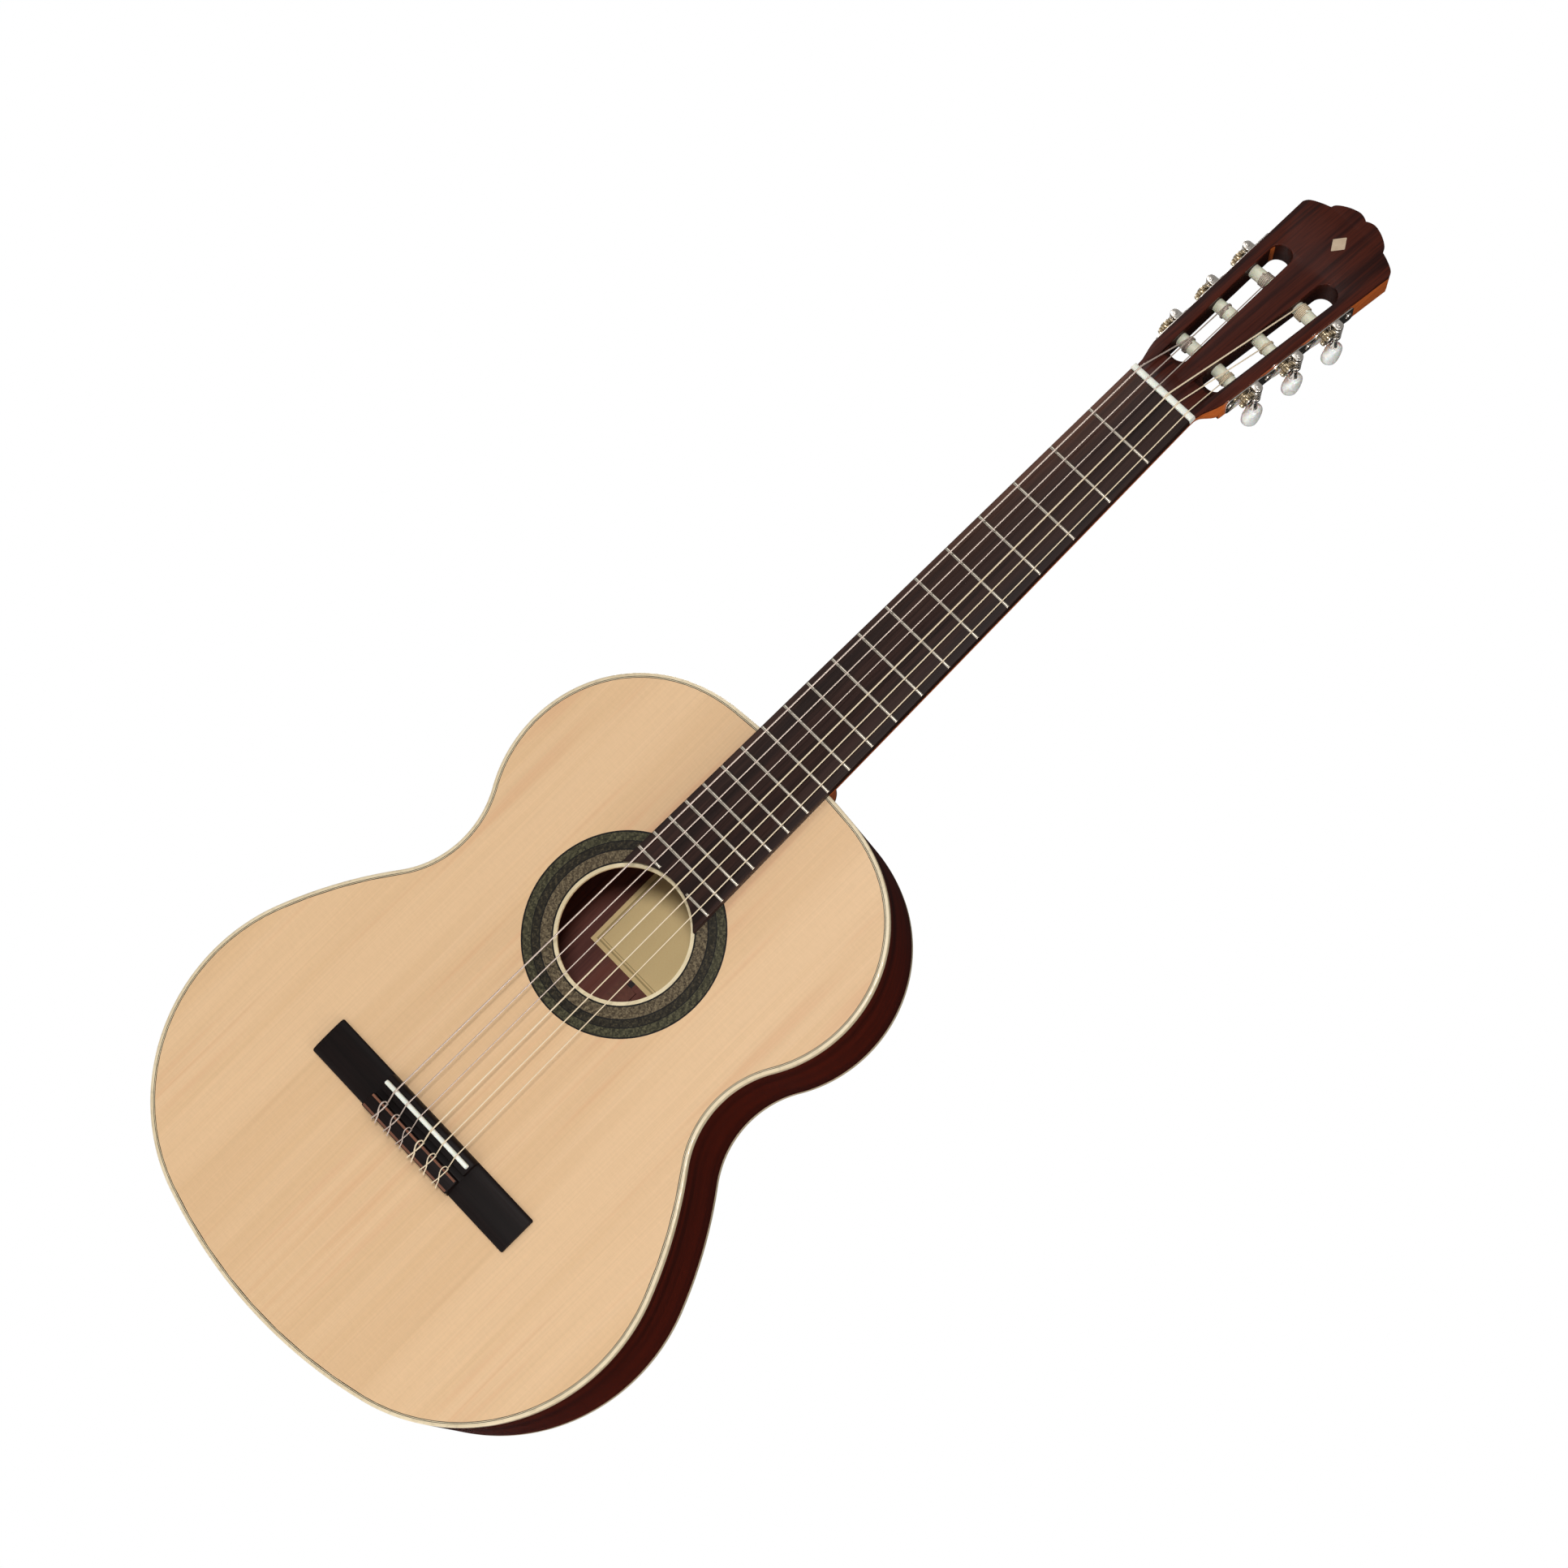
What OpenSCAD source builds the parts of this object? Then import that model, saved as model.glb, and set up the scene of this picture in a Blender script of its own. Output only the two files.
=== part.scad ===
// Classical guitar: nylon strings, slotted head, Spanish heel and fan-braced top.
// +X runs to the treble side, -Y out of the soundboard and +Z to the head.
// The origin is on the centreline at the nut's front edge, in the plane of the soundboard.

/* [Strings and scale] */
// String length from the nut to the saddle
scale_length = 650; // [646:1:654]
// Spread of the outer strings at the nut
nut_spread = 43; // [41:0.5:44]
// Spread of the outer strings at the saddle
saddle_spread = 58; // [56:0.5:60]
// Height of the nut's string slots over the soundboard plane
nut_floor_h = 7.5; // [7.3:0.1:7.7]
// Height of the saddle's crest over the soundboard plane
saddle_top_h = 12; // [11.6:0.1:12.4]

/* [Neck and fingerboard] */
// Width of the fingerboard at the nut
nut_w = 52; // [51:0.5:53]
// Width of the fingerboard at the twelfth fret
body_joint_w = 62; // [61:0.5:63]
// Thickness of the fingerboard
board_t = 6; // [5.5:0.5:6.5]
// Depth of the neck wood behind the first fret
neck_t = 16; // [15:0.5:17]
// Number of frets
fret_count = 19; // [18:1:19]

/* [Head] */
// Backward tilt of the head, in degrees
head_tilt = 15; // [13:0.5:16]
// Thickness of the head's wood without its veneer
head_t = 18; // [17:0.5:19]
// Thickness of the head's veneer
veneer_t = 2; // [1.5:0.5:2.5]
// Width of the head above its shoulders
head_low_w = 61.5; // [60:0.5:63]
// Width of the head under its crown
head_top_w = 77; // [76:0.5:78]
// Width of each string slot
slot_w = 16; // [15:0.5:16.5]

/* [Body] */
// Radius of the upper bout
upper_bout_r = 95.3; // [94:0.1:97]
// Radius of the waist
waist_r = 69.8; // [68:0.1:72]
// Radius of the lower bout
lower_bout_r = 129; // [127:0.5:131]
// Depth of the body at the neck
heel_depth = 94; // [92:0.5:96]
// Depth of the body at the tail
tail_depth = 100; // [98:0.5:102]
// Thickness of the soundboard
top_t = 2.5; // [2.2:0.1:3]
// Thickness of the back plates
back_t = 2.6; // [2.4:0.1:3]
// Thickness of the ribs and of the bindings
rib_t = 2.2; // [2:0.1:2.5]
// Radius of the soundhole
hole_r = 43.3; // [42:0.1:44]
// Outer radius of the rosette
rosette_r = 66.8; // [66:0.1:68]

/* [Bridge] */
// Length of the bridge, tip to tip
bridge_len = 182; // [178:1:186]
// Width of the bridge along the strings
bridge_w = 28; // [27:0.5:29]
// Length of the saddle
saddle_len = 77; // [75:1:79]

/* [Tuners] */
// Distance between neighbouring rollers
roller_pitch = 35; // [34.5:0.5:35]
// Radius of a string roller
roller_r = 4.75; // [4.5:0.05:4.9]

/* [Hidden] */
$fn = 64;
eps = 0.01;       // overlap that joins two shapes of one solid
far = 400;        // larger than the body in every direction

// Frets and the body joint, as distances from the nut
function fret_s(n) = scale_length * (1 - pow(2, -n / 12));
body_s = fret_s(12);
hole_s = body_s + 154;
joint_half = body_joint_w / 2;
function board_half(s) = nut_w / 2 + (body_joint_w - nut_w) / 2 * s / body_s;

// Half outline of the body from the neck round to the tail, as arcs of [radius, sweep];
// a negative arc curves the other way, and the tail arc closes the outline on the centreline
body_arcs = [[554, 5.6], [111.6, 18.8], [upper_bout_r, 96.9], [-waist_r, -69],
             [309.7, 15.6], [lower_bout_r, 96]];
arc_step = 4.5;   // largest turn between two outline points
function arc_point(c, r, a) = c + r * [sin(a), cos(a)];
function arc_centre(p, r, a) = p - r * [sin(a), cos(a)];
function arc_run(p, a, r, turn) = let (n = ceil(abs(turn) / arc_step), c = arc_centre(p, r, a))
    [for (i = [1:n]) arc_point(c, r, a + turn * i / n)];
function chain(p, a, inset, i = 0) = i == len(body_arcs)
    ? arc_run(p, a, p[0] / sin(180 - a), 180 - a)
    : let (run = arc_run(p, a, body_arcs[i][0] - inset, body_arcs[i][1]))
      concat(run, chain(run[len(run) - 1], a + body_arcs[i][1], inset, i + 1));
function half_outline(inset) = let (p = [0, -body_s - inset]) concat([p], chain(p, 0, inset));
outer = half_outline(0);
tail_s = -outer[len(outer) - 1][1];
purfling_w = 1.2;
binding_h = 5.5;
purfling_h = 1.5;
lining_w = 5.5;
lining_h = 13.5;
inner_inset = rib_t + lining_w;
back_pitch = atan((tail_depth - heel_depth) / (tail_s - body_s));

// Blocks, slots and the heel
rib_slot_half = 10;   // the ribs end this far from the centreline in the neck's slots
block_half = 30;
block_s = body_s + 26;
graft_half = 5;
tail_block_t = 18;
cap_t = 3.5;
heel_end = heel_depth - cap_t;

// Soundhole ring and rosette
ring_w = 2.4;
inlay_t = 1.2;
ring_r = hole_r + ring_w;

// Braces
brace_w = 6;
bar_h = 15;
fan_w = 5;
fan_h = 4;
fan_s = hole_s + 73;
plate_len = bridge_len - 8;
plate_t = 1.6;
closing_low = [10, 790];
closing_high = [118, 745];
label_w = 84;
label_s = [404, 500];
label_t = 0.3;
back_bars = [label_s[0] - 12, label_s[1] + 40, 660];
cleat_runs = [[504, 536], [544, 656], [664, 790]];

// Bridge
bridge_front_s = scale_length - 6.5;
bridge_back_s = bridge_front_s + bridge_w;
block_len = saddle_len + 3;
wing_h = 3.4;
saddle_block_h = 8.2;
tie_block_h = 9;
tie_s = bridge_back_s - 11;
channel_s = scale_length + 5.5;
channel_h = 4;
saddle_t = 3;
saddle_seat_h = 3.5;
tie_slope = 0.3;      // tangent of half the string's bend over the saddle
string_gap = 0.03;    // between a string and what it rests on
tie_hole_r = 1.1;
tie_hole_h = 6;

// Nut and frets
nut_t = 5;
nut_h = nut_floor_h + 0.45;
fret_h = 1;
fret_half_w = 1.1;
tang_half_w = 0.3;
tang_h = 1.8;
split_half = 12;      // half the gap in the last fret

// Head, in its own frame: x across, y back from the wood's face, z up the head
shoulder_w = 19.5;
crown_w = 163.5;
head_taper = atan((head_top_w - head_low_w) / 2 / (crown_w - shoulder_w));
wall_t = 8.3;
slot_span = [0.5, 111.5];
ramp = [[-3, -12], [-2, -8], [2, 8], [-3, 8]];
crown_notch = [23, 173.7];
crown_top = 184.5;
crown_mid = 182.3;

// Tuners, in a frame on the head's side: x outwards, y back, z along the side
gear_teeth = 14;
tooth_module = 0.8;
side_plate_t = 1.3;
plate_depth = 14.5;
plate_span = [3, 113];
roller_depth = 7.5;
first_roller = 18;
gear_mid = 4.7;
gear_half_t = 1.3;
gear_pitch_r = tooth_module * gear_teeth / 2;
tooth_top = 0.6;
tooth_root = 0.9;
worm_pitch_r = 2.5;
worm_offset = gear_pitch_r + worm_pitch_r;
worm_core_r = worm_pitch_r - tooth_root;
worm_lead = PI * tooth_module;
flank = tan(14.5);
gear_tooth_w = 0.95;
worm_thread_w = 0.7;
thread_turns = 3;
lug_half = 3.2;
lug_span = [5, 7.2];
spindle_r = 2.4;
gear_screw_r = 1.1;
journal_r = 1.5;
stem_r = 2;
web_hole = 4.5;
running = 0.05;       // radial clearance of a shaft in its hole
button_span = [26, 45];
screw_z = [7, 39, 74, 109];
screw_r = 1.3;

// Strings: radius and the roller that each one winds on, first to sixth
string_r = [0.36, 0.41, 0.51, 0.37, 0.44, 0.54];
roller_of = [0, 1, 2, 2, 1, 0];
landing_x = [18.5, 19, 13.5];  // where a string meets each roller, from the centreline
function side_of(n) = n <= 3 ? 1 : -1;
function string_x(n, s) = (3.5 - n) / 5
    * (nut_spread + (saddle_spread - nut_spread) * s / scale_length);
function string_h(n, s) = string_r[n - 1] + string_gap
    + nut_floor_h + (saddle_top_h - nut_floor_h) * s / scale_length;
function head_point(p) = [p[0], p[1] * cos(head_tilt) + p[2] * sin(head_tilt),
                          nut_t - p[1] * sin(head_tilt) + p[2] * cos(head_tilt)];
// Height up the head of a roller's axis, at a distance from the centreline
function roller_z(k, x) = let (t = first_roller + k * roller_pitch)
    shoulder_w + t / cos(head_taper) + (head_low_w / 2 - x) * tan(head_taper);

// ---- Frames and plane shapes ----

// A plate between two depths whose outline is drawn in x and z
module slab(y0, y1) translate([0, y1, 0]) rotate([90, 0, 0]) linear_extrude(y1 - y0) children();

module mirror_pair() {
    children();
    mirror([1, 0, 0]) children();
}

module outline(inset) {
    half = half_outline(inset);
    n = len(half);
    polygon(concat(half, [for (i = [n - 2:-1:1]) [-half[i][0], half[i][1]]]));
}

module ring(from, to) difference() {
    outline(from);
    outline(to);
}

// The plane of the back: y = 0 is the back's outer face
module back_frame() translate([0, heel_depth, -body_s]) rotate([back_pitch, 0, 0])
    translate([0, 0, body_s]) children();

module head_frame() translate([0, 0, nut_t]) rotate([-head_tilt, 0, 0]) children();

module tuner_frame(side) head_frame() mirror([side < 0 ? 1 : 0, 0, 0])
    translate([head_low_w / 2, 0, shoulder_w]) rotate([0, head_taper, 0]) children();

module roller_axis(n) tuner_frame(side_of(n))
    translate([0, roller_depth, first_roller + roller_of[n - 1] * roller_pitch]) children();

// A cylinder along x between two stations
module shaft(x0, x1, r) translate([x0, 0, 0]) rotate([0, 90, 0]) cylinder(h = x1 - x0, r = r);

// A cylinder along y between two stations
module post(y0, y1, r) translate([0, y0, 0]) rotate([-90, 0, 0]) cylinder(h = y1 - y0, r = r);

module box(low, high) translate(low) cube(high - low);

// ---- Body ----

module soundboard() color("burlywood") difference() {
    union() {
        slab(purfling_h, top_t) outline(rib_t);
        slab(0, purfling_h + eps) outline(rib_t + purfling_w);
        slab(0, top_t) intersection() {
            outline(0);
            translate([-joint_half, -body_s - 12]) square([body_joint_w, 12]);
        }
    }
    translate([0, 0, -hole_s]) {
        post(-1, top_t + 1, hole_r);
        post(-1, inlay_t, rosette_r);
    }
}

module rosette() color("darkolivegreen") translate([0, 0, -hole_s]) difference() {
    post(0, inlay_t, rosette_r);
    post(-1, inlay_t + 1, ring_r);
}

module soundhole_ring() color("wheat") translate([0, 0, -hole_s]) difference() {
    post(0, inlay_t, ring_r);
    post(-1, inlay_t + 1, hole_r);
}

// The slice of the body between two depths under the back's outer face
module under_back(deep, shallow) intersection() {
    slab(binding_h, tail_depth + cap_t) children();
    back_frame() box([-far, -deep, -far * 3], [far, -shallow, 0]);
}

module half_back() under_back(back_t, 0) intersection() {
    outline(rib_t);
    translate([2, -far * 3]) square([far, far * 3]);
}

module back_treble() color("saddlebrown") half_back();

module back_bass() color("saddlebrown") mirror([1, 0, 0]) half_back();

module back_centre_strip() color("maroon") under_back(back_t, 0) intersection() {
    outline(rib_t);
    translate([-2, -far * 3]) square([4, far * 3]);
}

// A rib runs from its slot in the neck to the end graft
module rib() under_back(tail_depth, binding_h) intersection() {
    ring(0, rib_t);
    union() {
        translate([rib_slot_half, -body_s - 60]) square([far, 60]);
        translate([graft_half, -far * 3]) square([far, far * 3 - body_s - 50]);
    }
}

module side_treble() color("saddlebrown") rib();

module side_bass() color("saddlebrown") mirror([1, 0, 0]) rib();

module off_neck() difference() {
    children();
    translate([-joint_half, -body_s - 40]) square([body_joint_w, 60]);
}

module top_binding() color("tan") slab(0, binding_h) off_neck() ring(0, rib_t);

module top_purfling() color("black") slab(0, purfling_h) off_neck() ring(rib_t, rib_t + purfling_w);

module back_binding() color("tan") under_back(binding_h, 0) ring(0, rib_t);

module lining_ring() difference() {
    ring(rib_t, inner_inset);
    translate([-joint_half, -block_s]) square([body_joint_w, 60]);
    translate([-joint_half, -tail_s - 1]) square([body_joint_w, 20]);
}

module linings() color("sandybrown") {
    slab(top_t, top_t + lining_h) lining_ring();
    under_back(back_t + lining_h, back_t) lining_ring();
}

module tail_block() color("sandybrown") difference() {
    slab(top_t, tail_depth) intersection() {
        outline(rib_t);
        translate([-block_half, -tail_s - 1]) square([block_half * 2, tail_block_t]);
    }
    back_frame() box([-far, -back_t, -far * 3], [far, far, 0]);
}

module end_graft() color("maroon") under_back(tail_depth, binding_h) intersection() {
    ring(0, rib_t);
    translate([-graft_half, -tail_s - 1]) square([graft_half * 2, 10]);
}

// A straight bar across the body, trimmed to the space inside the linings
module cross_bar(s) intersection() {
    outline(inner_inset + 0.3);
    translate([-far, -s - brace_w / 2]) square([far * 2, brace_w]);
}

module harmonic_bars() color("wheat") slab(top_t, top_t + bar_h) {
    cross_bar(hole_s - 60);
    cross_bar(hole_s + 62);
}

// A strip of one width between two points of the plane
module strip(a, b, w) translate(a) rotate(atan2(b[1] - a[1], b[0] - a[0]))
    translate([0, -w / 2]) square([norm(b - a), w]);

module fan_braces() color("wheat") difference() {
    slab(top_t, top_t + fan_h) {
        slope = (closing_low[1] - closing_high[1]) / (closing_high[0] - closing_low[0]);
        for (i = [-3:3]) {
            end_x = 38 * abs(i);
            end_s = closing_high[1] + (closing_high[0] - end_x) * slope - fan_w;
            strip([20 * i, -fan_s], [38 * i, -end_s], fan_w);
        }
        mirror_pair() strip([closing_low[0], -closing_low[1]],
                            [closing_high[0], -closing_high[1]], fan_w);
    }
    slab(0, top_t + plate_t) bridge_plate_outline();
}

module bridge_plate_outline() translate([-plate_len / 2, -bridge_back_s - 1])
    square([plate_len, bridge_w + 2]);

module bridge_plate() color("tan") slab(top_t, top_t + plate_t) bridge_plate_outline();

module back_braces() color("wheat") back_frame() {
    slab(-back_t - bar_h, -back_t) for (s = back_bars) cross_bar(s);
    for (run = cleat_runs)
        slab(-back_t - 2, -back_t) translate([-7, -run[1]]) square([14, run[1] - run[0]]);
}

module label() color("ivory") back_frame() slab(-back_t - label_t, -back_t)
    translate([-label_w / 2, -label_s[1]]) square([label_w, label_s[1] - label_s[0]]);

// ---- Neck, fingerboard and head ----

// Half-round cross-section of the neck's back
round_steps = 16;
function section(half, depth) = [for (i = [0:round_steps]) let (a = 180 * i / round_steps)
    [half * cos(a), depth * pow(sin(a), 0.85)]];
// Stations of the neck: [y, z, tilt, half width, depth]; the last ones sink into the head
head_low_cut = 2;
neck_stations = [
    for (s = [body_s + 3, 250, 150, 60, 0])
        [0, -s, 0, min(board_half(s), joint_half), neck_t + 2 * min(s, 250) / 250],
    [0, nut_t, head_tilt / 2, nut_w / 2, neck_t + 1],
    for (sink = [[0.8, head_low_cut + 6, 0.8], [2.5, head_low_cut + 14, 3]])
        [sink[0] * cos(head_tilt) + sink[1] * sin(head_tilt),
         nut_t - sink[0] * sin(head_tilt) + sink[1] * cos(head_tilt),
         head_tilt, nut_w / 2 - sink[2], neck_t - 2 * sink[0]]];
function station_ring(t) = [for (p = section(t[3], t[4]))
    [p[0], t[0] + p[1] * cos(t[2]), t[1] - p[1] * sin(t[2])]];

// A closed solid through rings of points, each ring with the same number of them
module loft(rings) {
    m = len(rings[0]);
    n = len(rings);
    polyhedron(
        points = [for (r = rings) each r],
        faces = concat(
            [[for (i = [0:m - 1]) i]],
            [[for (i = [m - 1:-1:0]) (n - 1) * m + i]],
            [for (k = [0:n - 2], i = [0:m - 1]) let (a = k * m + i, b = k * m + (i + 1) % m)
                each [[a, a + m, b + m], [a, b + m, b]]]));
}

// The heel sweeps from the neck's back to the cap, narrowing as it deepens
heel_stations = [6, 12, 18, 25, 34, 48, 64, 80, heel_end + 3];
function heel_ring(y) = let (u = max(0, (heel_end - y) / heel_end),
                             half = 11.5 + (joint_half - 14) * pow(u, 0.8),
                             reach = 14 + 4 * u + 32 * pow(u, 3.5))
    [for (i = [0:16]) let (a = 180 - 180 * i / 16)
        [half * cos(a), y, reach * sin(a) - body_s - 5]];

module head_edge() {
    half_low = head_low_w / 2;
    half_top = head_top_w / 2;
    side = [[nut_w / 2, 0], [nut_w / 2 + 0.6, 5], [half_low - 1.2, shoulder_w - 5],
            [half_low, shoulder_w], [half_top, crown_w],
            [half_top - 4.5, crown_w + 5.2], [half_top - 10.5, crown_w + 8.6],
            crown_notch, [18.5, 179.3], [12, crown_top - 0.7], [8.5, crown_top],
            [3.5, crown_top - 0.5]];
    polygon(concat(side, [[0, crown_mid]],
        [for (i = [len(side) - 1:-1:0]) [-side[i][0], side[i][1]]]));
}

// One string slot through the head, with round ends, in a tuner's frame
module string_slot(y0, y1) slab(y0, y1) translate([-wall_t - slot_w / 2, 0]) {
    translate([-slot_w / 2, slot_span[0] + slot_w / 2])
        square([slot_w, slot_span[1] - slot_span[0] - slot_w]);
    for (z = [slot_span[0] + slot_w / 2, slot_span[1] - slot_w / 2])
        translate([0, z]) circle(slot_w / 2);
}

// A shape drawn in y and z, run along x
module run_x(x0, x1) translate([x0, 0, 0]) rotate([90, 0, 90]) linear_extrude(x1 - x0) children();

// Both slots, with the ramp that each one's strings dip into at its lower end
module head_openings() for (side = [-1, 1]) tuner_frame(side) {
    string_slot(-veneer_t - 1, head_t + 1);
    run_x(-wall_t - slot_w, -wall_t) polygon(ramp);
}

module neck() color("sienna") difference() {
    union() {
        loft([for (t = neck_stations) station_ring(t)]);
        loft([for (y = heel_stations) heel_ring(y)]);
        slab(top_t, heel_depth + 1) translate([-block_half, -block_s])
            square([block_half * 2, block_s - body_s - 2]);
        head_frame() slab(0, head_t) intersection() {
            head_edge();
            translate([-far, head_low_cut]) square([far * 2, far]);
        }
    }
    slab(-1, top_t) outline(0);
    slab(binding_h, tail_depth) mirror_pair() intersection() {
        ring(0, rib_t);
        translate([rib_slot_half, -body_s - 60]) square([far, 60]);
    }
    under_back(binding_h, -cap_t) ring(0, rib_t);
    under_back(back_t, -cap_t) outline(rib_t);
    back_frame() slab(-cap_t, cap_t * 2) translate([-50, -body_s - 1]) square([100, 60]);
    head_openings();
    for (n = [1:6]) roller_axis(n)
        shaft(-wall_t - slot_w - web_hole, 1, roller_r + running);
    for (side = [-1, 1]) tuner_frame(side) screw_shafts(-7, 1, screw_r);
}

module heel_cap() color("maroon") difference() {
    back_frame() slab(-cap_t, -0.3) polygon([for (p = heel_ring(heel_end)) [p[0], p[2]]]);
    slab(0, tail_depth + cap_t) outline(0);
}

module headplate() color("maroon") difference() {
    head_frame() slab(-veneer_t, 0) head_edge();
    head_openings();
}

// The stretches of the board that a fret crosses: the last one is split by the soundhole's edge
function fret_runs(n) = let (half = board_half(fret_s(n)) - 0.2)
    n < 19 ? [[-half, half]] : [[-half, -split_half], [split_half, half]];

module at_frets() for (n = [1:fret_count], run = fret_runs(n))
    translate([0, -board_t, -fret_s(n)]) run_x(run[0], run[1]) children();

module tang() translate([0, -tang_half_w]) square([tang_h, tang_half_w * 2]);

module fingerboard() color("saddlebrown") difference() {
    slab(-board_t, 0) difference() {
        end_s = hole_s - sqrt(pow(ring_r, 2) - pow(board_half(hole_s - 30), 2));
        polygon([[-nut_w / 2, 0], [nut_w / 2, 0],
                 [board_half(end_s), -end_s], [-board_half(end_s), -end_s]]);
        translate([0, -hole_s]) circle(r = ring_r);
    }
    at_frets() tang();
}

module frets() color("silver") at_frets() {
    tang();
    polygon([[0, -fret_half_w], [-0.72, -0.8], [-fret_h, -0.35],
             [-fret_h, 0.35], [-0.72, 0.8], [0, fret_half_w]]);
}

module nut() color("ivory") difference() {
    run_x(-nut_w / 2, nut_w / 2)
        polygon([[0, 0], [-nut_h, 0], [-nut_h, 2], [-nut_h + 1, nut_t], [0, nut_t]]);
    for (n = [1:6]) loft(tube_rings([for (s = [10, -10 - nut_t]) on_string(n, s)],
                                    string_r[n - 1] + string_gap));
}

// ---- Bridge and strings ----

module bridge() color("#2b1d16") difference() {
    union() {
        run_x(-bridge_len / 2, bridge_len / 2)
            polygon([[0, -bridge_front_s], [-2.2, -bridge_front_s], [-wing_h, -bridge_front_s - 4],
                     [-wing_h, -bridge_back_s + 4], [-2.2, -bridge_back_s], [0, -bridge_back_s]]);
        run_x(-block_len / 2, block_len / 2)
            polygon([[0, -bridge_front_s], [-4, -bridge_front_s],
                     [-saddle_block_h, -bridge_front_s - 3], [-saddle_block_h, -channel_s],
                     [-channel_h, -channel_s], [-channel_h, -tie_s], [-tie_block_h, -tie_s],
                     [-tie_block_h, -bridge_back_s], [0, -bridge_back_s]]);
    }
    run_x(-saddle_len / 2, saddle_len / 2) translate([-far, -scale_length - saddle_t / 2])
        square([far - saddle_seat_h, saddle_t]);
    for (n = [1:6]) translate([string_x(n, scale_length), -tie_hole_h, -bridge_back_s - 1])
        cylinder(h = bridge_back_s - tie_s + 2, r = tie_hole_r);
}

module saddle() color("ivory") run_x(-saddle_len / 2, saddle_len / 2)
    translate([-saddle_top_h + saddle_t / 2, -scale_length])
        polygon(concat([for (a = [90:15:270]) saddle_t / 2 * [cos(a), sin(a)]],
                       [for (z = [-1, 1]) [saddle_top_h - saddle_t / 2 - saddle_seat_h,
                                           z * saddle_t / 2]]));

function on_string(n, s) = [string_x(n, s), -string_h(n, s), -s];
// From its roller and over the nut to just short of the saddle's crest
crest_gap = 0.2;
function crest_s(n) = scale_length + (saddle_t / 2 + string_r[n - 1]) * tie_slope;
function speaking_path(n) =
    let (r = string_r[n - 1], k = roller_of[n - 1], x = landing_x[k])
    [head_point([side_of(n) * x, roller_depth - roller_r - r - 0.35, roller_z(k, x)]),
     on_string(n, -nut_t - 0.8),
     on_string(n, crest_s(n) - crest_gap)];
// From the crest down to the tie block and through it
function tie_path(n) = let (x = string_x(n, scale_length), h = string_h(n, crest_s(n)),
                            fall = (h - tie_hole_h) / (tie_s - crest_s(n)))
    [[x, crest_gap * fall - h, -crest_s(n) - crest_gap],
     [x, -tie_hole_h, -tie_s],
     [x, -tie_hole_h, -bridge_back_s - 1.5]];

function unit(v) = v / norm(v);
function tube_rings(path, r) = let (last = len(path) - 1) [for (i = [0:last])
    let (dir = unit(path[min(i + 1, last)] - path[max(i - 1, 0)]),
         u = unit(cross(dir, [1, 0, 0])), w = cross(dir, u))
    [for (j = [0:7]) path[i] + r * (u * cos(45 * j) + w * sin(45 * j))]];

module string_solid(n) color(n <= 3 ? "lavender" : "tan")
    for (path = [speaking_path(n), tie_path(n)]) loft(tube_rings(path, string_r[n - 1]));

// ---- Tuners ----

module screw_shafts(x0, x1, r) for (z = screw_z) translate([0, roller_depth, z]) shaft(x0, x1, r);

module at_worm() translate([gear_mid, 0, worm_offset]) children();

// A bearing lug carries each end of a worm
module worm_lugs() for (m = [0, 1]) mirror([0, m, 0]) difference() {
    union() {
        at_worm() post(lug_span[0], lug_span[1], lug_half);
        box([side_plate_t - eps, lug_span[0], worm_offset - lug_half],
            [gear_mid, lug_span[1], worm_offset + lug_half]);
    }
    at_worm() post(lug_span[0] - 1, lug_span[1] + 1, journal_r + running);
}

module tuner_plate(side) color("silver") {
    difference() {
        tuner_frame(side) box([0, roller_depth - plate_depth / 2, plate_span[0]],
                              [side_plate_t, roller_depth + plate_depth / 2, plate_span[1]]);
        tuner_frame(side) screw_shafts(-1, side_plate_t + 1, screw_r);
        for (n = [1:6]) if (side_of(n) == side)
            roller_axis(n) shaft(-1, side_plate_t + 1, spindle_r + running);
    }
    for (n = [1:6]) if (side_of(n) == side) roller_axis(n) worm_lugs();
}

module plate_screws() color("gray") for (side = [-1, 1]) tuner_frame(side) {
    screw_shafts(-6.5, side_plate_t + eps, screw_r);
    screw_shafts(side_plate_t, side_plate_t + 1, screw_r * 2);
}

module roller(n) color("ivory") roller_axis(n) difference() {
    union() {
        shaft(-wall_t - slot_w - web_hole + 0.5, -0.2, roller_r);
        shaft(-1, gear_mid + gear_half_t, spindle_r);
    }
    translate([-wall_t - slot_w / 2, 0, 0]) post(-roller_r - 1, roller_r + 1, 0.9);
    shaft(gear_mid - 4, gear_mid + 4, gear_screw_r);
}

function tooth_w(r) = gear_tooth_w - 2 * (r - gear_pitch_r) * flank;
function polar(r, a) = r * [cos(a), sin(a)];
function tooth(a) = [for (side = [-1, 1], end = side < 0 ? [0, 1] : [1, 0])
    let (r = end ? gear_pitch_r + tooth_top : gear_pitch_r - tooth_root)
    polar(r, a + side * tooth_w(r) / 2 / r * 180 / PI)];

module gear(n) color("goldenrod") roller_axis(n) {
    difference() {
        union() {
            run_x(gear_mid - gear_half_t, gear_mid + gear_half_t)
                polygon([for (i = [0:gear_teeth - 1]) each tooth(90 + i * 360 / gear_teeth)]);
            shaft(side_plate_t + 0.15, gear_mid - gear_half_t + eps, 3.2);
        }
        shaft(0, 10, spindle_r);
    }
    shaft(gear_mid + gear_half_t, gear_mid + gear_half_t + 1.3, 2.7);
    shaft(gear_mid - 4, gear_mid + gear_half_t + eps, gear_screw_r);
}

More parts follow.
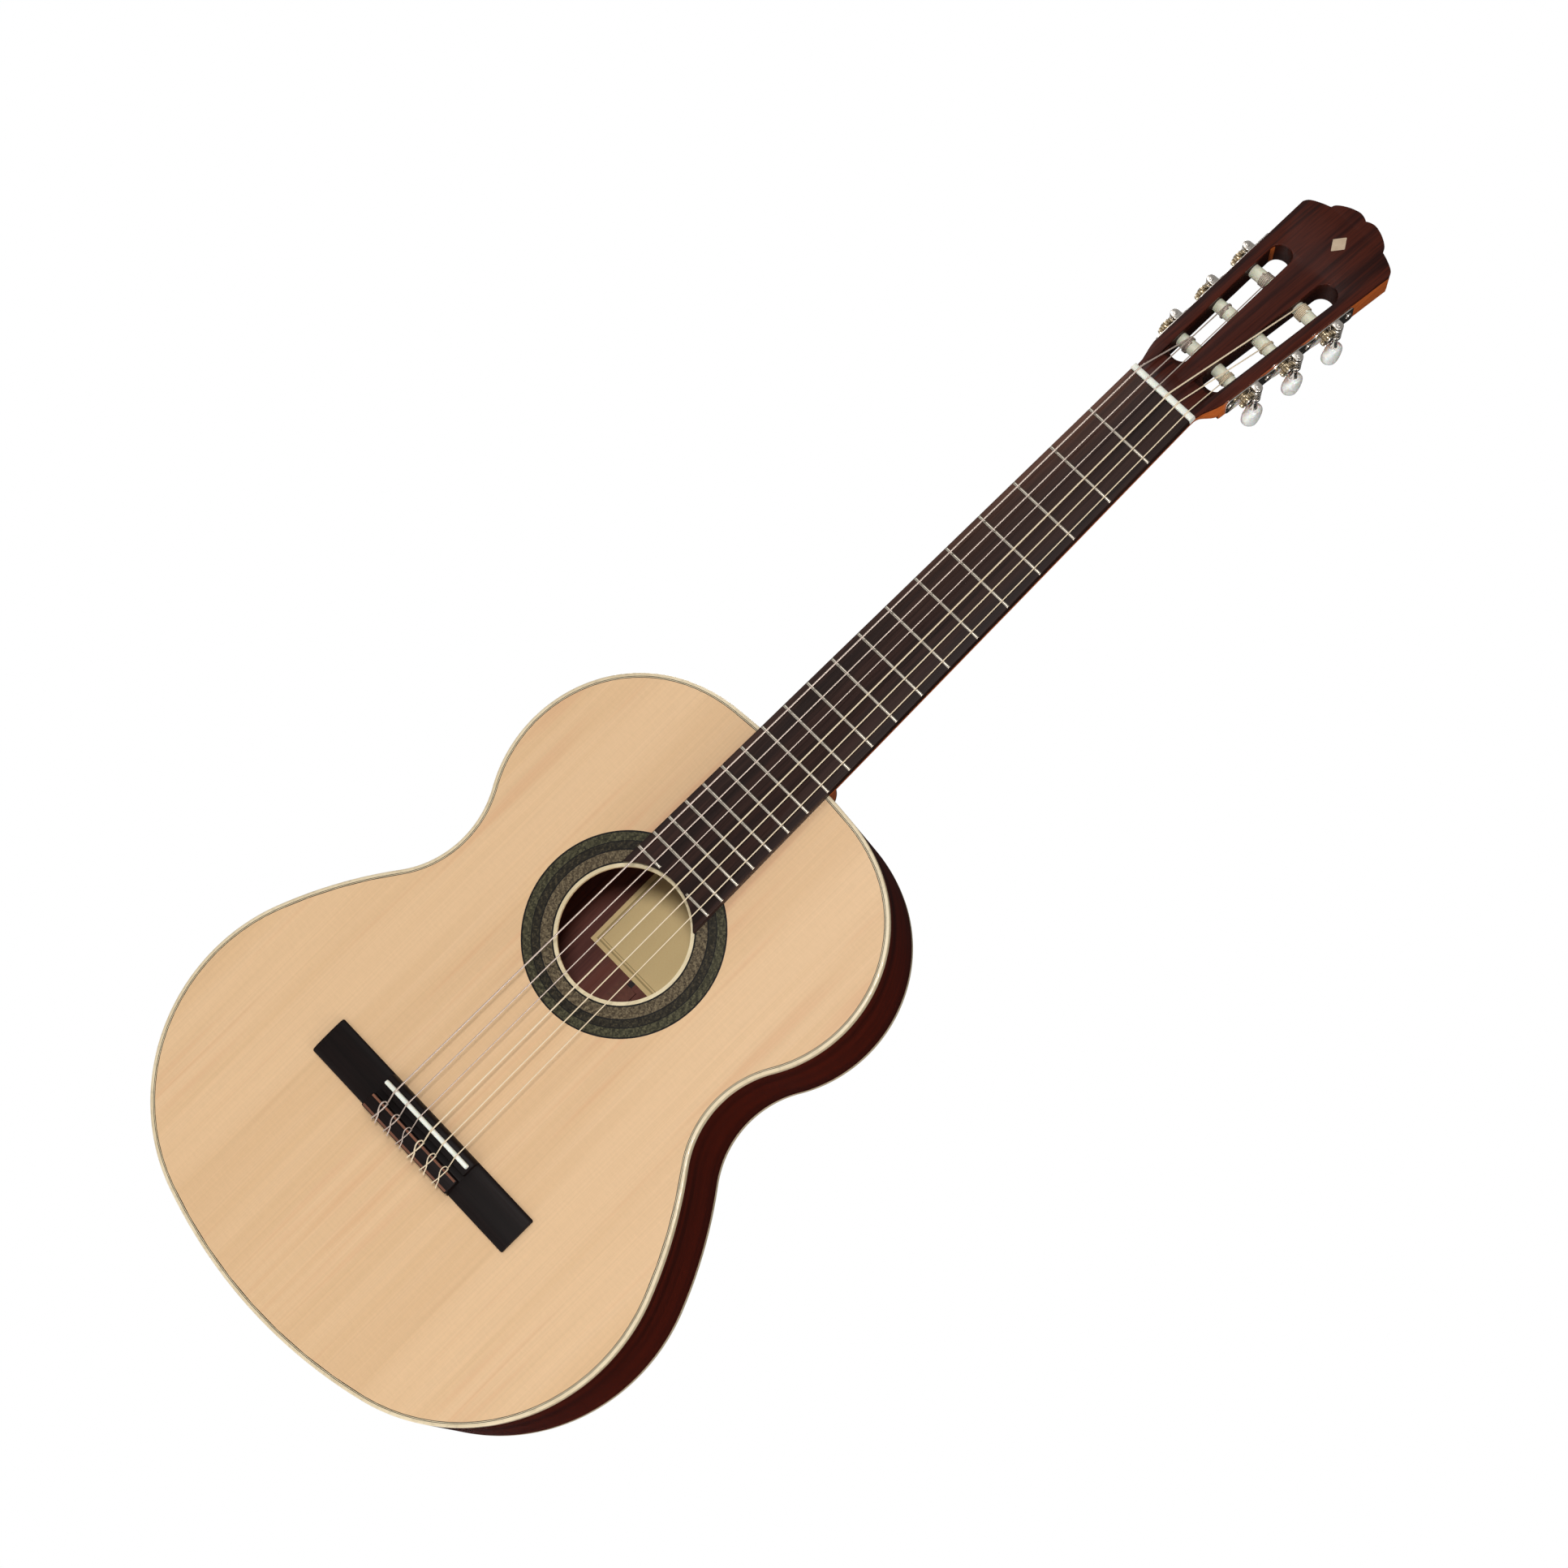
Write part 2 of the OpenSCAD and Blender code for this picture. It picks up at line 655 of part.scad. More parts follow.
// The thread starts and ends on the side that faces the gear. Its surface is a grid of angles
// and rows, four rows to a turn, where the last column meets the first one turn further on,
// and each end closes on a point of the axis.
thread_cols = 18;
thread_rows = 4 * thread_turns;
function thread_half(r) = worm_thread_w / 2 - (r - worm_pitch_r) * flank;
function thread_point(i, j) = let (
    a = 270 + 360 * i / thread_cols,
    tip = j % 4 == 1 || j % 4 == 2,
    r = tip ? worm_pitch_r + tooth_top : worm_core_r)
    [r * cos(a),
     worm_lead * (i / thread_cols + floor(j / 4) - thread_turns / 2)
         + (j % 4 < 2 ? -1 : 1) * thread_half(r),
     r * sin(a)];

module thread() {
    cols = thread_cols;
    rows = thread_rows;
    function at(i, j) = i == 0 ? j : i == cols ? j + 4 : i * rows + 4 + j;
    last = cols * rows + 4;
    low = [for (i = [0:cols - 1]) at(i, 0), for (j = [4:-1:0]) j];
    high = [for (i = [0:cols - 1]) at(i, rows - 1), for (j = [3:-1:-1]) rows + j];
    polyhedron(
        points = concat(
            [for (j = [0:rows + 3]) thread_point(0, j)],
            [for (i = [1:cols - 1], j = [0:rows - 1]) thread_point(i, j)],
            [for (end = [-1, 1]) [0, end * worm_lead * thread_turns / 2, 0]]),
        faces = concat(
            [for (i = [0:cols - 1], j = [0:rows - 2])
                each [[at(i, j), at(i + 1, j), at(i + 1, j + 1)],
                      [at(i, j), at(i + 1, j + 1), at(i, j + 1)]]],
            [for (k = [0:len(low) - 2]) [last, low[k + 1], low[k]]],
            [for (k = [0:len(high) - 2]) [last + 1, high[k], high[k + 1]]]));
}

module worm(n) color("silver") roller_axis(n) at_worm() {
    thread();
    post(-lug_span[1] - 0.5, button_span[0] - roller_depth, journal_r);
    post(lug_span[1] + 0.3, lug_span[1] + 1.5, 2.7);
    post(lug_span[1] + 1, button_span[0] - roller_depth + 6.5, stem_r);
}

module button(n) color("ivory") roller_axis(n) at_worm()
    translate([0, button_span[0] - roller_depth, 0]) difference() {
        intersection() {
            rotate([-90, 0, 0]) rotate_extrude()
                polygon([[0, 0], [3.2, 0], [3.8, 1.6], [6.6, 4.2], [8, 9], [7.7, 13.5],
                         [5.8, 17.4], [2.6, 19], [0, 19]]);
            box([-4.6, -1, -10], [4.6, 20, 10]);
        }
        post(-1, 7, stem_r);
    }

soundboard();
rosette();
soundhole_ring();
back_bass();
back_treble();
back_centre_strip();
side_bass();
side_treble();
top_binding();
top_purfling();
back_binding();
linings();
tail_block();
end_graft();
harmonic_bars();
fan_braces();
bridge_plate();
back_braces();
label();
neck();
heel_cap();
headplate();
fingerboard();
frets();
nut();
bridge();
saddle();
tuner_plate(-1);  // tuner_plate_bass
tuner_plate(1);  // tuner_plate_treble
plate_screws();
for (n = [1:6]) {
    string_solid(n);
    button(n);
    worm(n);
    gear(n);
    roller(n);
}
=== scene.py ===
"""Looks of a classical guitar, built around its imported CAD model.

Lengths are millimetres in the row frame: +X to the treble side, -Y out of the soundboard, +Z to
the head, with the origin at the nut. They become metres in to_object(). Materials, floor, lamps
and camera are in metres. A name in _S, or s, is a distance from the nut towards the tail; w is
one from the nut up along the tilted head.
"""

from math import asin, atan, ceil, copysign, cos, exp, pi, radians, sin, sqrt

import bmesh
import bpy
from mathutils import Matrix, Vector
from mathutils.geometry import tessellate_polygon


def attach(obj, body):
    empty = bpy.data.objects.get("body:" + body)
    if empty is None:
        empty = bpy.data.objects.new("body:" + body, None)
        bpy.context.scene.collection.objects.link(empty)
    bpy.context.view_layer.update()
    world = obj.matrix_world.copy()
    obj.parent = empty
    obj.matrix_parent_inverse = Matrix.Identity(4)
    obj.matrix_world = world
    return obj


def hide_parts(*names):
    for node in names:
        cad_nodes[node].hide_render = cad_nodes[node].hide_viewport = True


MM = 0.001
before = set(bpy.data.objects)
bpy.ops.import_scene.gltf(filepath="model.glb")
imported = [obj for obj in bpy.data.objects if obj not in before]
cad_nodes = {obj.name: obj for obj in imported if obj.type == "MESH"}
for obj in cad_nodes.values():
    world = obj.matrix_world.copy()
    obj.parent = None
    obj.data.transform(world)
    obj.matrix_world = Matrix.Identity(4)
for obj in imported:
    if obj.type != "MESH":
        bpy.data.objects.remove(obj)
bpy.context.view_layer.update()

# ---- Dimensions ----

SCALE = 650
NUT_SPREAD, SADDLE_SPREAD = 43, 58
NUT_FLOOR, SADDLE_TOP = 7.5, 12
NUT_W, JOINT_W = 52, 62
BOARD_T, NECK_T = 6, 16
NUT_T = 5
TILT = radians(15)
HEAD_T, VENEER_T = 18, 2
HEAD_LOW, HEAD_TOP = 61.5, 77
HEAD_BLEND, HEAD_FROM, NECK_TO = 19, 18, 21
SHOULDER, CROWN = 19.5, 163.5
BODY_S = 325
HEEL_DEPTH, TAIL_DEPTH = 94, 100
HEEL_BASE, HEEL_TIP_W, HEEL_TIP_REACH = 5, 23, 14
FOOT_W, FOOT_BACK = 60, 351
TOP_T, RIB_T = 2.5, 2.2
BINDING_H, CAP_T = 5.5, 3.5
PURFLING_T, PURFLING_H = 0.4, 1.5
GRAFT_W, BACK_GAP = 10, 20
HOLE_S, RING_R, ROSETTE_R = 479, 45.7, 66.8
TAIL_S = 810.95
ARCS = [(554, 5.6), (111.6, 18.8), (95.3, 96.9), (-69.8, -69), (309.7, 15.6), (129, 96)]
TILE_ROWS, TILE_COLUMNS = 24, 380
LABEL_S, LABEL_W, LABEL_H = 452, 84, 96
BRIDGE_FRONT, BRIDGE_BACK, BRIDGE_LEN = 643.5, 671.5, 182
BLOCK_LEN, SADDLE_LEN, SADDLE_R, HOLE_H = 80, 77, 1.5, 6
CHANNEL_S, STRIP_S, STRIP_W = (655.5, 660.5), (661.8, 670.2), 1.5
STRING_R = [0.36, 0.41, 0.51, 0.37, 0.44, 0.54]
STRING_GAP = 0.03
WIRE_PITCH = 0.14
LAST_FRET, FRET_R, FRET_GAP = 19, 1.1, 24
ROLLER_OF = [0, 1, 2, 2, 1, 0]
LANDING = [18.5, 19, 13.5]
ROLLER_R, ROLLER_DEPTH, FIRST_ROLLER, ROLLER_PITCH = 4.75, 7.5, 18, 35
WALL_T, SLOT_W = 8.3, 16
SLOT_MID, SLOT_Z = -WALL_T - SLOT_W / 2, (0.5, 111.5)
GEAR_MID, GEAR_HALF, TEETH = 4.7, 1.3, 14
WORM_OFFSET, WORM_LEAD, WORM_HALF = 8.1, pi * 0.8, 4.1
PLATE_T, PLATE_W, PLATE_LOW, PLATE_TOP = 1.3, 14.5, 3, 113
LUG_R = 3.2
BUTTON_START, BUTTON_T = 18.5, 9.2
SCREW_Z = (7, 39, 74, 109)


def string_x(n, s):
    return (3.5 - n) / 5 * (NUT_SPREAD + (SADDLE_SPREAD - NUT_SPREAD) * s / SCALE)


def string_h(n, s):
    return STRING_R[n - 1] + STRING_GAP + NUT_FLOOR + (SADDLE_TOP - NUT_FLOOR) * s / SCALE


def board_half(s):
    return NUT_W / 2 + (JOINT_W - NUT_W) / 2 * s / BODY_S


def fret_s(n):
    return SCALE * (1 - 2 ** (-n / 12))


# ---- Frames ----

def shift(x, y, z):
    return Matrix.Translation((x, y, z))


HEAD = shift(0, 0, NUT_T) @ Matrix.Rotation(-TILT, 4, "X")
TAPER = atan((HEAD_TOP - HEAD_LOW) / 2 / (CROWN - SHOULDER))


def tuner_frame(side):
    return (HEAD @ Matrix.Diagonal((side, 1, 1, 1))
            @ shift(HEAD_LOW / 2, 0, SHOULDER) @ Matrix.Rotation(TAPER, 4, "Y"))


def side_of(n):
    return 1 if n <= 3 else -1


def roller_frame(n):
    return tuner_frame(side_of(n)) @ shift(
        0, ROLLER_DEPTH, FIRST_ROLLER + ROLLER_OF[n - 1] * ROLLER_PITCH)


# ---- Mesh tools ----

def unit(v):
    v = Vector(v)
    return v / v.length


def placed(matrix, shape):
    verts, faces = shape
    return [tuple(matrix @ Vector(v)) for v in verts], faces


def merged(*shapes):
    """Several shapes as one list of vertices and one of faces"""
    verts, faces = [], []
    for v, f in shapes:
        start = len(verts)
        verts += v
        faces += [tuple(i + start for i in face) for face in f]
    return verts, faces


def spread(first, last, count):
    """Numbers from the first to the last in equal steps"""
    return [first + (last - first) * i / count for i in range(count + 1)]


def eased(t):
    """A smooth step from 0 to 1"""
    t = min(1, max(0, t))
    return t * t * (3 - 2 * t)


def around(count):
    """Angles of a full turn in equal steps"""
    return spread(0, 2 * pi, count)[:-1]


def quads(start, m, rings):
    """Faces between neighbouring rings of m vertices each"""
    return [(start + k * m + i, start + k * m + (i + 1) % m,
             start + (k + 1) * m + (i + 1) % m, start + (k + 1) * m + i)
            for k in range(rings - 1) for i in range(m)]


def loft(rings):
    """A closed solid through rings that have the same number of points"""
    m = len(rings[0])
    faces = quads(0, m, len(rings))
    faces.append(tuple(range(m))[::-1])
    faces.append(tuple(range((len(rings) - 1) * m, len(rings) * m)))
    return [tuple(p) for ring in rings for p in ring], faces


def turned(loop, positive=True):
    """The loop, running anticlockwise if positive, or else clockwise"""
    area = sum(loop[i - 1][0] * loop[i][1] - loop[i][0] * loop[i - 1][1]
               for i in range(len(loop)))
    return list(loop) if (area > 0) == positive else list(loop)[::-1]


def inset_loop(loop, d):
    """The loop moved by d to its left"""
    out = []
    n = len(loop)
    for i in range(n):
        a, b, c = (Vector(loop[(i + k) % n]) for k in (-1, 0, 1))
        e1, e2 = (b - a).normalized(), (c - b).normalized()
        n1, n2 = Vector((-e1.y, e1.x)), Vector((-e2.y, e2.x))
        out.append(tuple(b + (n1 + n2) * d / max(1 + n1.dot(n2), 0.35)))
    return out


def extruded(outline, holes, w0, w1, bevels, steps=3):
    """A plate in (u, v, w) with rounded edges: the outline and holes are loops in u and v"""
    loops = [turned(outline)] + [turned(h, False) for h in holes]
    quarter = [(1 - sin(a), 1 - cos(a)) for a in spread(0, pi / 2, steps)]
    levels = ([(w0 + bevels[0] * u, bevels[0] * v) for u, v in quarter[::-1]]
              + [(w1 - bevels[1] * u, bevels[1] * v) for u, v in quarter])
    verts, faces, caps = [], [], ([], [])
    for loop in loops:
        start, m = len(verts), len(loop)
        for w, inset in levels:
            verts += [(u, v, w) for u, v in inset_loop(loop, inset)]
        faces += quads(start, m, len(levels))
        caps[0].append(list(range(start, start + m)))
        last = start + (len(levels) - 1) * m
        caps[1].append(list(range(last, last + m)))
    for rings in caps:
        flat = [i for ring in rings for i in ring]
        for tri in tessellate_polygon([[Vector(verts[i]) for i in ring] for ring in rings]):
            faces.append(tuple(flat[i] for i in tri))
    return verts, faces


def slab(outline, y0, y1, bevels=(0, 0), holes=(), steps=3):
    """A plate whose outline is drawn in x and z, from depth y0 to y1"""
    verts, faces = extruded(outline, holes, y0, y1, bevels, steps)
    return [(u, w, v) for u, v, w in verts], faces


def run_x(outline, x0, x1, bevel=0, steps=3):
    """A bar along x whose section is drawn in y and z"""
    verts, faces = extruded(outline, [], x0, x1, (bevel, bevel), steps)
    return [(w, u, v) for u, v, w in verts], faces


def rounded(polygon, radius, steps=4):
    """The polygon with an arc in place of each corner; radius may be one number or a list"""
    out, n = [], len(polygon)
    for i in range(n):
        a, b, c = (Vector(polygon[(i + k) % n]) for k in (-1, 0, 1))
        r = radius[i] if isinstance(radius, (list, tuple)) else radius
        reach = min(r, (a - b).length * 0.45, (c - b).length * 0.45)
        p, q = b + (a - b).normalized() * reach, b + (c - b).normalized() * reach
        for t in spread(0, 1, steps):
            out.append(tuple(p * (1 - t) ** 2 + b * 2 * t * (1 - t) + q * t * t))
    return out


def curved(points, per):
    """A smooth path through the points, with `per` steps between neighbours"""
    pts = [Vector(p) for p in points]
    pts = [pts[0] * 2 - pts[1]] + pts + [pts[-1] * 2 - pts[-2]]
    out = []
    for i in range(1, len(pts) - 2):
        p0, p1, p2, p3 = pts[i - 1:i + 3]
        for k in range(per):
            t = k / per
            out.append(0.5 * (2 * p1 + (p2 - p0) * t + (2 * p0 - 5 * p1 + 4 * p2 - p3) * t * t
                              + (3 * p1 - p0 - 3 * p2 + p3) * t ** 3))
    return out + [pts[-2]]


def tube(path, radius, sides=16):
    """A round tube along a path, with rounded ends"""
    path = [Vector(p) for p in path]
    first, last = unit(path[1] - path[0]), unit(path[-1] - path[-2])
    path = [path[0] - first * radius * 0.5] + path + [path[-1] + last * radius * 0.5]
    radii = [radius * 0.55] + [radius] * (len(path) - 2) + [radius * 0.55]
    side = unit(first.orthogonal())
    rings = []
    for i, p in enumerate(path):
        d = unit(path[min(i + 1, len(path) - 1)] - path[max(i - 1, 0)])
        side = unit(side - d * side.dot(d))
        other = d.cross(side)
        rings.append([p + radii[i] * (side * cos(a) + other * sin(a))
                      for a in around(sides)])
    return loft(rings)


def lathe(profile, sides=40):
    """A solid turned about x from pairs of station and radius"""
    return loft([[(x, r * cos(a), r * sin(a)) for a in around(sides)]
                 for x, r in profile])


def rod(x0, x1, r, c, sides=40):
    """A round rod along x whose ends are rounded by c"""
    turn = [(c * (1 - cos(a)), r - c * (1 - sin(a))) for a in (0, 0.52, 1.05, pi / 2)]
    return lathe([(x0 + u, v) for u, v in turn] + [(x1 - u, v) for u, v in turn[::-1]], sides)


def along_y(shape):
    """A shape turned about x, laid along y instead"""
    verts, faces = shape
    return [(z, x, y) for x, y, z in verts], faces


def to_object(name, shape, scale=MM):
    verts, faces = shape
    mesh = bpy.data.meshes.new(name)
    mesh.from_pydata([[c * scale for c in v] for v in verts], [], faces)
    bm = bmesh.new()
    bm.from_mesh(mesh)
    bmesh.ops.recalc_face_normals(bm, faces=bm.faces)
    bm.to_mesh(mesh)
    bm.free()
    obj = bpy.data.objects.new(name, mesh)
    bpy.context.scene.collection.objects.link(obj)
    return obj


def applied(obj):
    """Puts the object's modifiers into its mesh"""
    bpy.context.view_layer.update()
    made = bpy.data.meshes.new_from_object(obj.evaluated_get(
        bpy.context.evaluated_depsgraph_get()))
    obj.modifiers.clear()
    obj.data = made
    return obj


def cut(obj, *shapes, operation="DIFFERENCE"):
    """Takes closed shapes out of an object, or with UNION joins them to it"""
    for shape in shapes:
        other = to_object("other", shape)
        mod = obj.modifiers.new("cut", "BOOLEAN")
        mod.operation, mod.solver, mod.object = operation, "EXACT", other
        applied(obj)
        bpy.data.objects.remove(other)
    return obj


def dress(obj, look, slot, body="guitar", node=None, sharp=32):
    """Gives a finished object its look, its shading and its body"""
    if obj.data.materials:
        obj.material_slots[0].material = looks[look]
    else:
        obj.data.materials.append(looks[look])
    obj.data.shade_smooth()
    obj.data.set_sharp_from_angle(angle=radians(sharp))
    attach(obj, body)
    if node:
        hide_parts(node)
    return obj


def piece(name, shape, look, slot, **more):
    return dress(to_object(name, shape), look, slot, **more)


# ---- Materials ----

def srgb(*values):
    """A display colour, 0 to 255, as linear light"""
    return tuple((v / 255 / 12.92 if v / 255 <= 0.04045 else ((v / 255 + 0.055) / 1.055) ** 2.4)
                 for v in values) + (1.0,)


class Look:
    """A procedural material that is put together node by node"""

    def __init__(self, name, **shader):
        self.material = bpy.data.materials.new(name)
        self.material.use_nodes = True
        self.tree = self.material.node_tree
        self.shader = self.tree.nodes["Principled BSDF"]
        for key, value in shader.items():
            self.shader.inputs[key.replace("_", " ")].default_value = value
        self.place = self.node("TexCoord").outputs["Object"]

    def put(self, socket, value):
        if isinstance(value, bpy.types.NodeSocket):
            self.tree.links.new(value, socket)
        else:
            socket.default_value = value

    def node(self, kind, *values):
        """A new shader node whose first inputs hold the values"""
        node = self.tree.nodes.new("ShaderNode" + kind)
        for socket, value in zip(node.inputs, values):
            self.put(socket, value)
        return node

    def math(self, kind, *values):
        node = self.node("Math", *values)
        node.operation = kind
        return node.outputs[0]

    def times(self, a, b):
        return self.math("MULTIPLY", a, b)

    def plus(self, a, b):
        return self.math("ADD", a, b)

    def between(self, value, low, high):
        return self.times(self.math("GREATER_THAN", value, low),
                          self.math("LESS_THAN", value, high))

    def parts(self):
        return self.node("SeparateXYZ", self.place).outputs

    def matched(self):
        """The place, mirrored so that both sides of the centre joint are alike"""
        x, y, z = self.parts()
        return self.joined(self.math("ABSOLUTE", x), y, z)

    def joined(self, x, y, z):
        return self.node("CombineXYZ", x, y, z).outputs[0]

    def noise(self, scale, detail, roughness=0.5, distortion=0.0, place=None,
              offset=(0, 0, 0)):
        """Noise with its own scale along each axis, per metre"""
        way = self.node("Mapping", place or self.place)
        way.inputs["Scale"].default_value = scale
        way.inputs["Location"].default_value = offset
        node = self.node("TexNoise", way.outputs[0])
        for key, value in (("Scale", 1), ("Detail", detail), ("Roughness", roughness),
                           ("Distortion", distortion)):
            node.inputs[key].default_value = value
        return node.outputs[0]

    def ramp(self, value, stops):
        """Colours by value, from stops of position, red, green and blue"""
        node = self.node("ValToRGB", value)
        elements = node.color_ramp.elements
        while len(elements) < len(stops):
            elements.new(1.0)
        for element, (at, *colour) in zip(elements, stops):
            element.position, element.color = at, srgb(*colour)
        return node.outputs[0]

    def mix(self, factor, a, b, kind="MIX"):
        node = self.node("Mix")
        node.data_type, node.blend_type = "RGBA", kind
        self.put(node.inputs[0], factor)
        self.put(node.inputs[6], a)
        self.put(node.inputs[7], b)
        return node.outputs[2]

    def shaded(self, tone, amount):
        return self.mix(1.0, tone, self.joined(amount, amount, amount), "MULTIPLY")

    def span(self, value, low, high, to_low, to_high):
        return self.node("MapRange", value, low, high, to_low, to_high).outputs[0]

    def bump(self, height, strength, distance):
        node = self.node("Bump")
        node.inputs["Strength"].default_value = strength
        node.inputs["Distance"].default_value = distance
        self.put(node.inputs["Height"], height)
        self.put(self.shader.inputs["Normal"], node.outputs[0])

    def colour(self, socket):
        self.put(self.shader.inputs["Base Color"], socket)

    def rough(self, value, low, high):
        self.put(self.shader.inputs["Roughness"], self.span(value, 0.3, 0.7, low, high))


def wood(name, stops, band, pore, rough, pore_dark, book=False, bump=0.06, **shader):
    """Wood: broad streaks at the scale `band` and fine pores at the scale `pore`"""
    look = Look(name, **shader)
    place = look.matched() if book else look.place
    streaks = look.noise(band, 5, 0.6, 0.4, place)
    fine = look.noise([c * 5 for c in band], 3, place=place)
    pores = look.noise(pore, 2, place=place)
    tone = look.ramp(look.plus(look.times(streaks, 0.75), look.times(fine, 0.25)), stops)
    look.colour(look.shaded(tone, look.span(pores, 0.3, 0.48, pore_dark, 1)))
    look.rough(fine, *rough)
    look.bump(look.plus(pores, fine), bump, 0.0002)
    return look.material


def spruce():
    """Pale spruce: soft bands, fine grain lines, silk across them and faint red streaks"""
    look = Look("spruce_top", Coat_Weight=0.25, Coat_Roughness=0.12)
    place = look.matched()
    bands = look.noise((26, 1, 0.9), 4, 0.55, 0.25, place)
    lines = look.noise((780, 2, 5), 2, place=place)
    silk = look.noise((150, 2, 620), 2, place=place)
    streak = look.noise((75, 1, 3.2), 3, place=place, offset=(3, 0, 5))
    tone = look.ramp(bands, [(0.25, 222, 186, 144), (0.45, 219, 182, 139),
                             (0.56, 213, 175, 131), (0.75, 221, 184, 142)])
    tone = look.shaded(tone, look.times(look.span(lines, 0.35, 0.68, 1.0, 0.94),
                                        look.span(silk, 0.3, 0.7, 0.975, 1.02)))
    look.colour(look.mix(look.span(streak, 0.57, 0.72, 0.0, 0.5), tone, srgb(204, 148, 108)))
    look.rough(lines, 0.34, 0.46)
    look.bump(lines, 0.05, 0.0001)
    return look.material


def mosaic():
    """Rings of tiles round the soundhole, under lacquer"""
    look = Look("rosette_mosaic", Coat_Weight=0.08, Coat_Roughness=0.1,
                Specular_IOR_Level=0.2)
    x, _, z = look.parts()
    z = look.plus(z, HOLE_S * MM)
    r = look.math("SQRT", look.plus(look.times(x, x), look.times(z, z)))
    turn = look.math("DIVIDE", look.math("ARCTAN2", z, x), 2 * pi)
    share = look.span(r, RING_R * MM, ROSETTE_R * MM, 0, 1)
    row = look.math("FLOOR", look.times(share, TILE_ROWS))
    column = look.math("FLOOR", look.times(turn, TILE_COLUMNS))
    chance = look.node("TexWhiteNoise", look.joined(column, row, 0)).outputs[0]
    diagonal = look.math("PINGPONG", look.plus(column, row), 3)
    pattern = look.plus(look.times(chance, 0.65), look.times(diagonal, 0.11))
    pale, dark, olive = [look.ramp(pattern, stops) for stops in (
        [(0.0, 46, 38, 28), (0.45, 80, 68, 50), (1.0, 120, 106, 80)],
        [(0.0, 18, 14, 10), (0.6, 38, 33, 21), (1.0, 66, 57, 38)],
        [(0.0, 32, 29, 20), (0.5, 58, 55, 37), (1.0, 88, 83, 58)])]
    tone = look.mix(look.math("GREATER_THAN", share, 0.42), pale, dark)
    tone = look.mix(look.math("GREATER_THAN", share, 0.68), tone, olive)
    for low, high in ((-0.001, 0.05), (0.399, 0.44), (0.659, 0.69), (0.949, 1.01)):
        tone = look.mix(look.between(share, low, high), tone, srgb(14, 12, 9))
    look.colour(tone)
    look.rough(chance, 0.3, 0.42)
    return look.material


def speckled(name, low, high, scale, rough, bump=0.0, **shader):
    """A plain substance whose colour, gloss and surface vary a little"""
    look = Look(name, **shader)
    cloud = look.noise((scale,) * 3, 4)
    fine = look.noise((scale * 9,) * 3, 2)
    look.colour(look.mix(cloud, srgb(*low), srgb(*high)))
    look.rough(fine, *rough)
    if bump:
        look.bump(fine, bump, 0.0001)
    return look.material


def brushed(name, low, high, stretch, rough):
    """Metal with fine marks along one direction"""
    look = Look(name, Metallic=1.0)
    marks = look.noise(stretch, 3)
    cloud = look.noise((160, 160, 160), 2)
    look.colour(look.mix(cloud, srgb(*low), srgb(*high)))
    look.rough(marks, *rough)
    look.bump(marks, 0.03, 0.00005)
    return look.material


def pearl():
    look = Look("pearl_button", Coat_Weight=0.4, Coat_Roughness=0.08, Subsurface_Weight=0.3)
    swirl = look.noise((120, 60, 140), 4, distortion=2.5)
    look.colour(look.ramp(swirl, [(0.3, 214, 208, 202), (0.45, 238, 232, 226),
                                  (0.55, 236, 235, 231), (0.7, 250, 246, 240)]))
    look.rough(swirl, 0.18, 0.32)
    return look.material


def wound():
    """Silvered wire wound round the bass strings, with painted shade in the grooves between its
    turns
    """
    look = Look("wound_string", Metallic=0.35)
    _, _, z = look.parts()
    wire = look.math("PINGPONG", look.times(z, 1 / (WIRE_PITCH * MM)), 0.5)
    # Painted shade: the colour is darker in the grooves between the turns, where the bump is low
    look.colour(look.mix(wire, srgb(170, 150, 138), srgb(226, 212, 198)))
    look.rough(wire, 0.3, 0.45)
    look.bump(wire, 0.5, 0.00003)
    return look.material


def label_paper():
    """Plain paper with a double line round its border"""
    look = Look("label_paper", Roughness=0.75)
    x, _, z = look.parts()
    z = look.plus(z, LABEL_S * MM)
    edge = look.math("MINIMUM", *(
        look.math("SUBTRACT", half * MM, look.math("ABSOLUTE", way))
        for half, way in ((LABEL_W / 2, x), (LABEL_H / 2, z))))
    fibre = look.noise((900, 10, 900), 3)
    paper = look.mix(fibre, srgb(250, 214, 150), srgb(255, 228, 168))
    for low, high in ((3.0, 4.2), (5.4, 5.9)):
        line = look.times(look.between(edge, low * MM, high * MM), 0.6)
        paper = look.mix(line, paper, srgb(142, 112, 64))
    look.colour(paper)
    return look.material


def board_look():
    """Dark rosewood with pores and paler streaks on the bass side"""
    look = Look("fingerboard_wood", Specular_IOR_Level=0.14)
    x, _, z = look.parts()
    streaks = look.noise((95, 4, 2.6), 5, 0.6, 0.3)
    pores = look.noise((1500, 60, 45), 2)
    tone = look.ramp(streaks, [(0.25, 17, 10, 8), (0.45, 33, 19, 15),
                               (0.58, 48, 29, 23), (0.8, 24, 14, 11)])
    bass = look.times(look.span(x, -0.024, -0.006, 1, 0), look.span(z, -0.26, -0.02, 0.1, 1))
    tone = look.mix(look.times(bass, look.span(streaks, 0.4, 0.6, 0.25, 0.8)), tone,
                    srgb(104, 70, 56))
    look.colour(look.shaded(tone, look.span(pores, 0.3, 0.48, 0.6, 1)))
    look.rough(pores, 0.36, 0.5)
    look.bump(pores, 0.08, 0.0002)
    return look.material


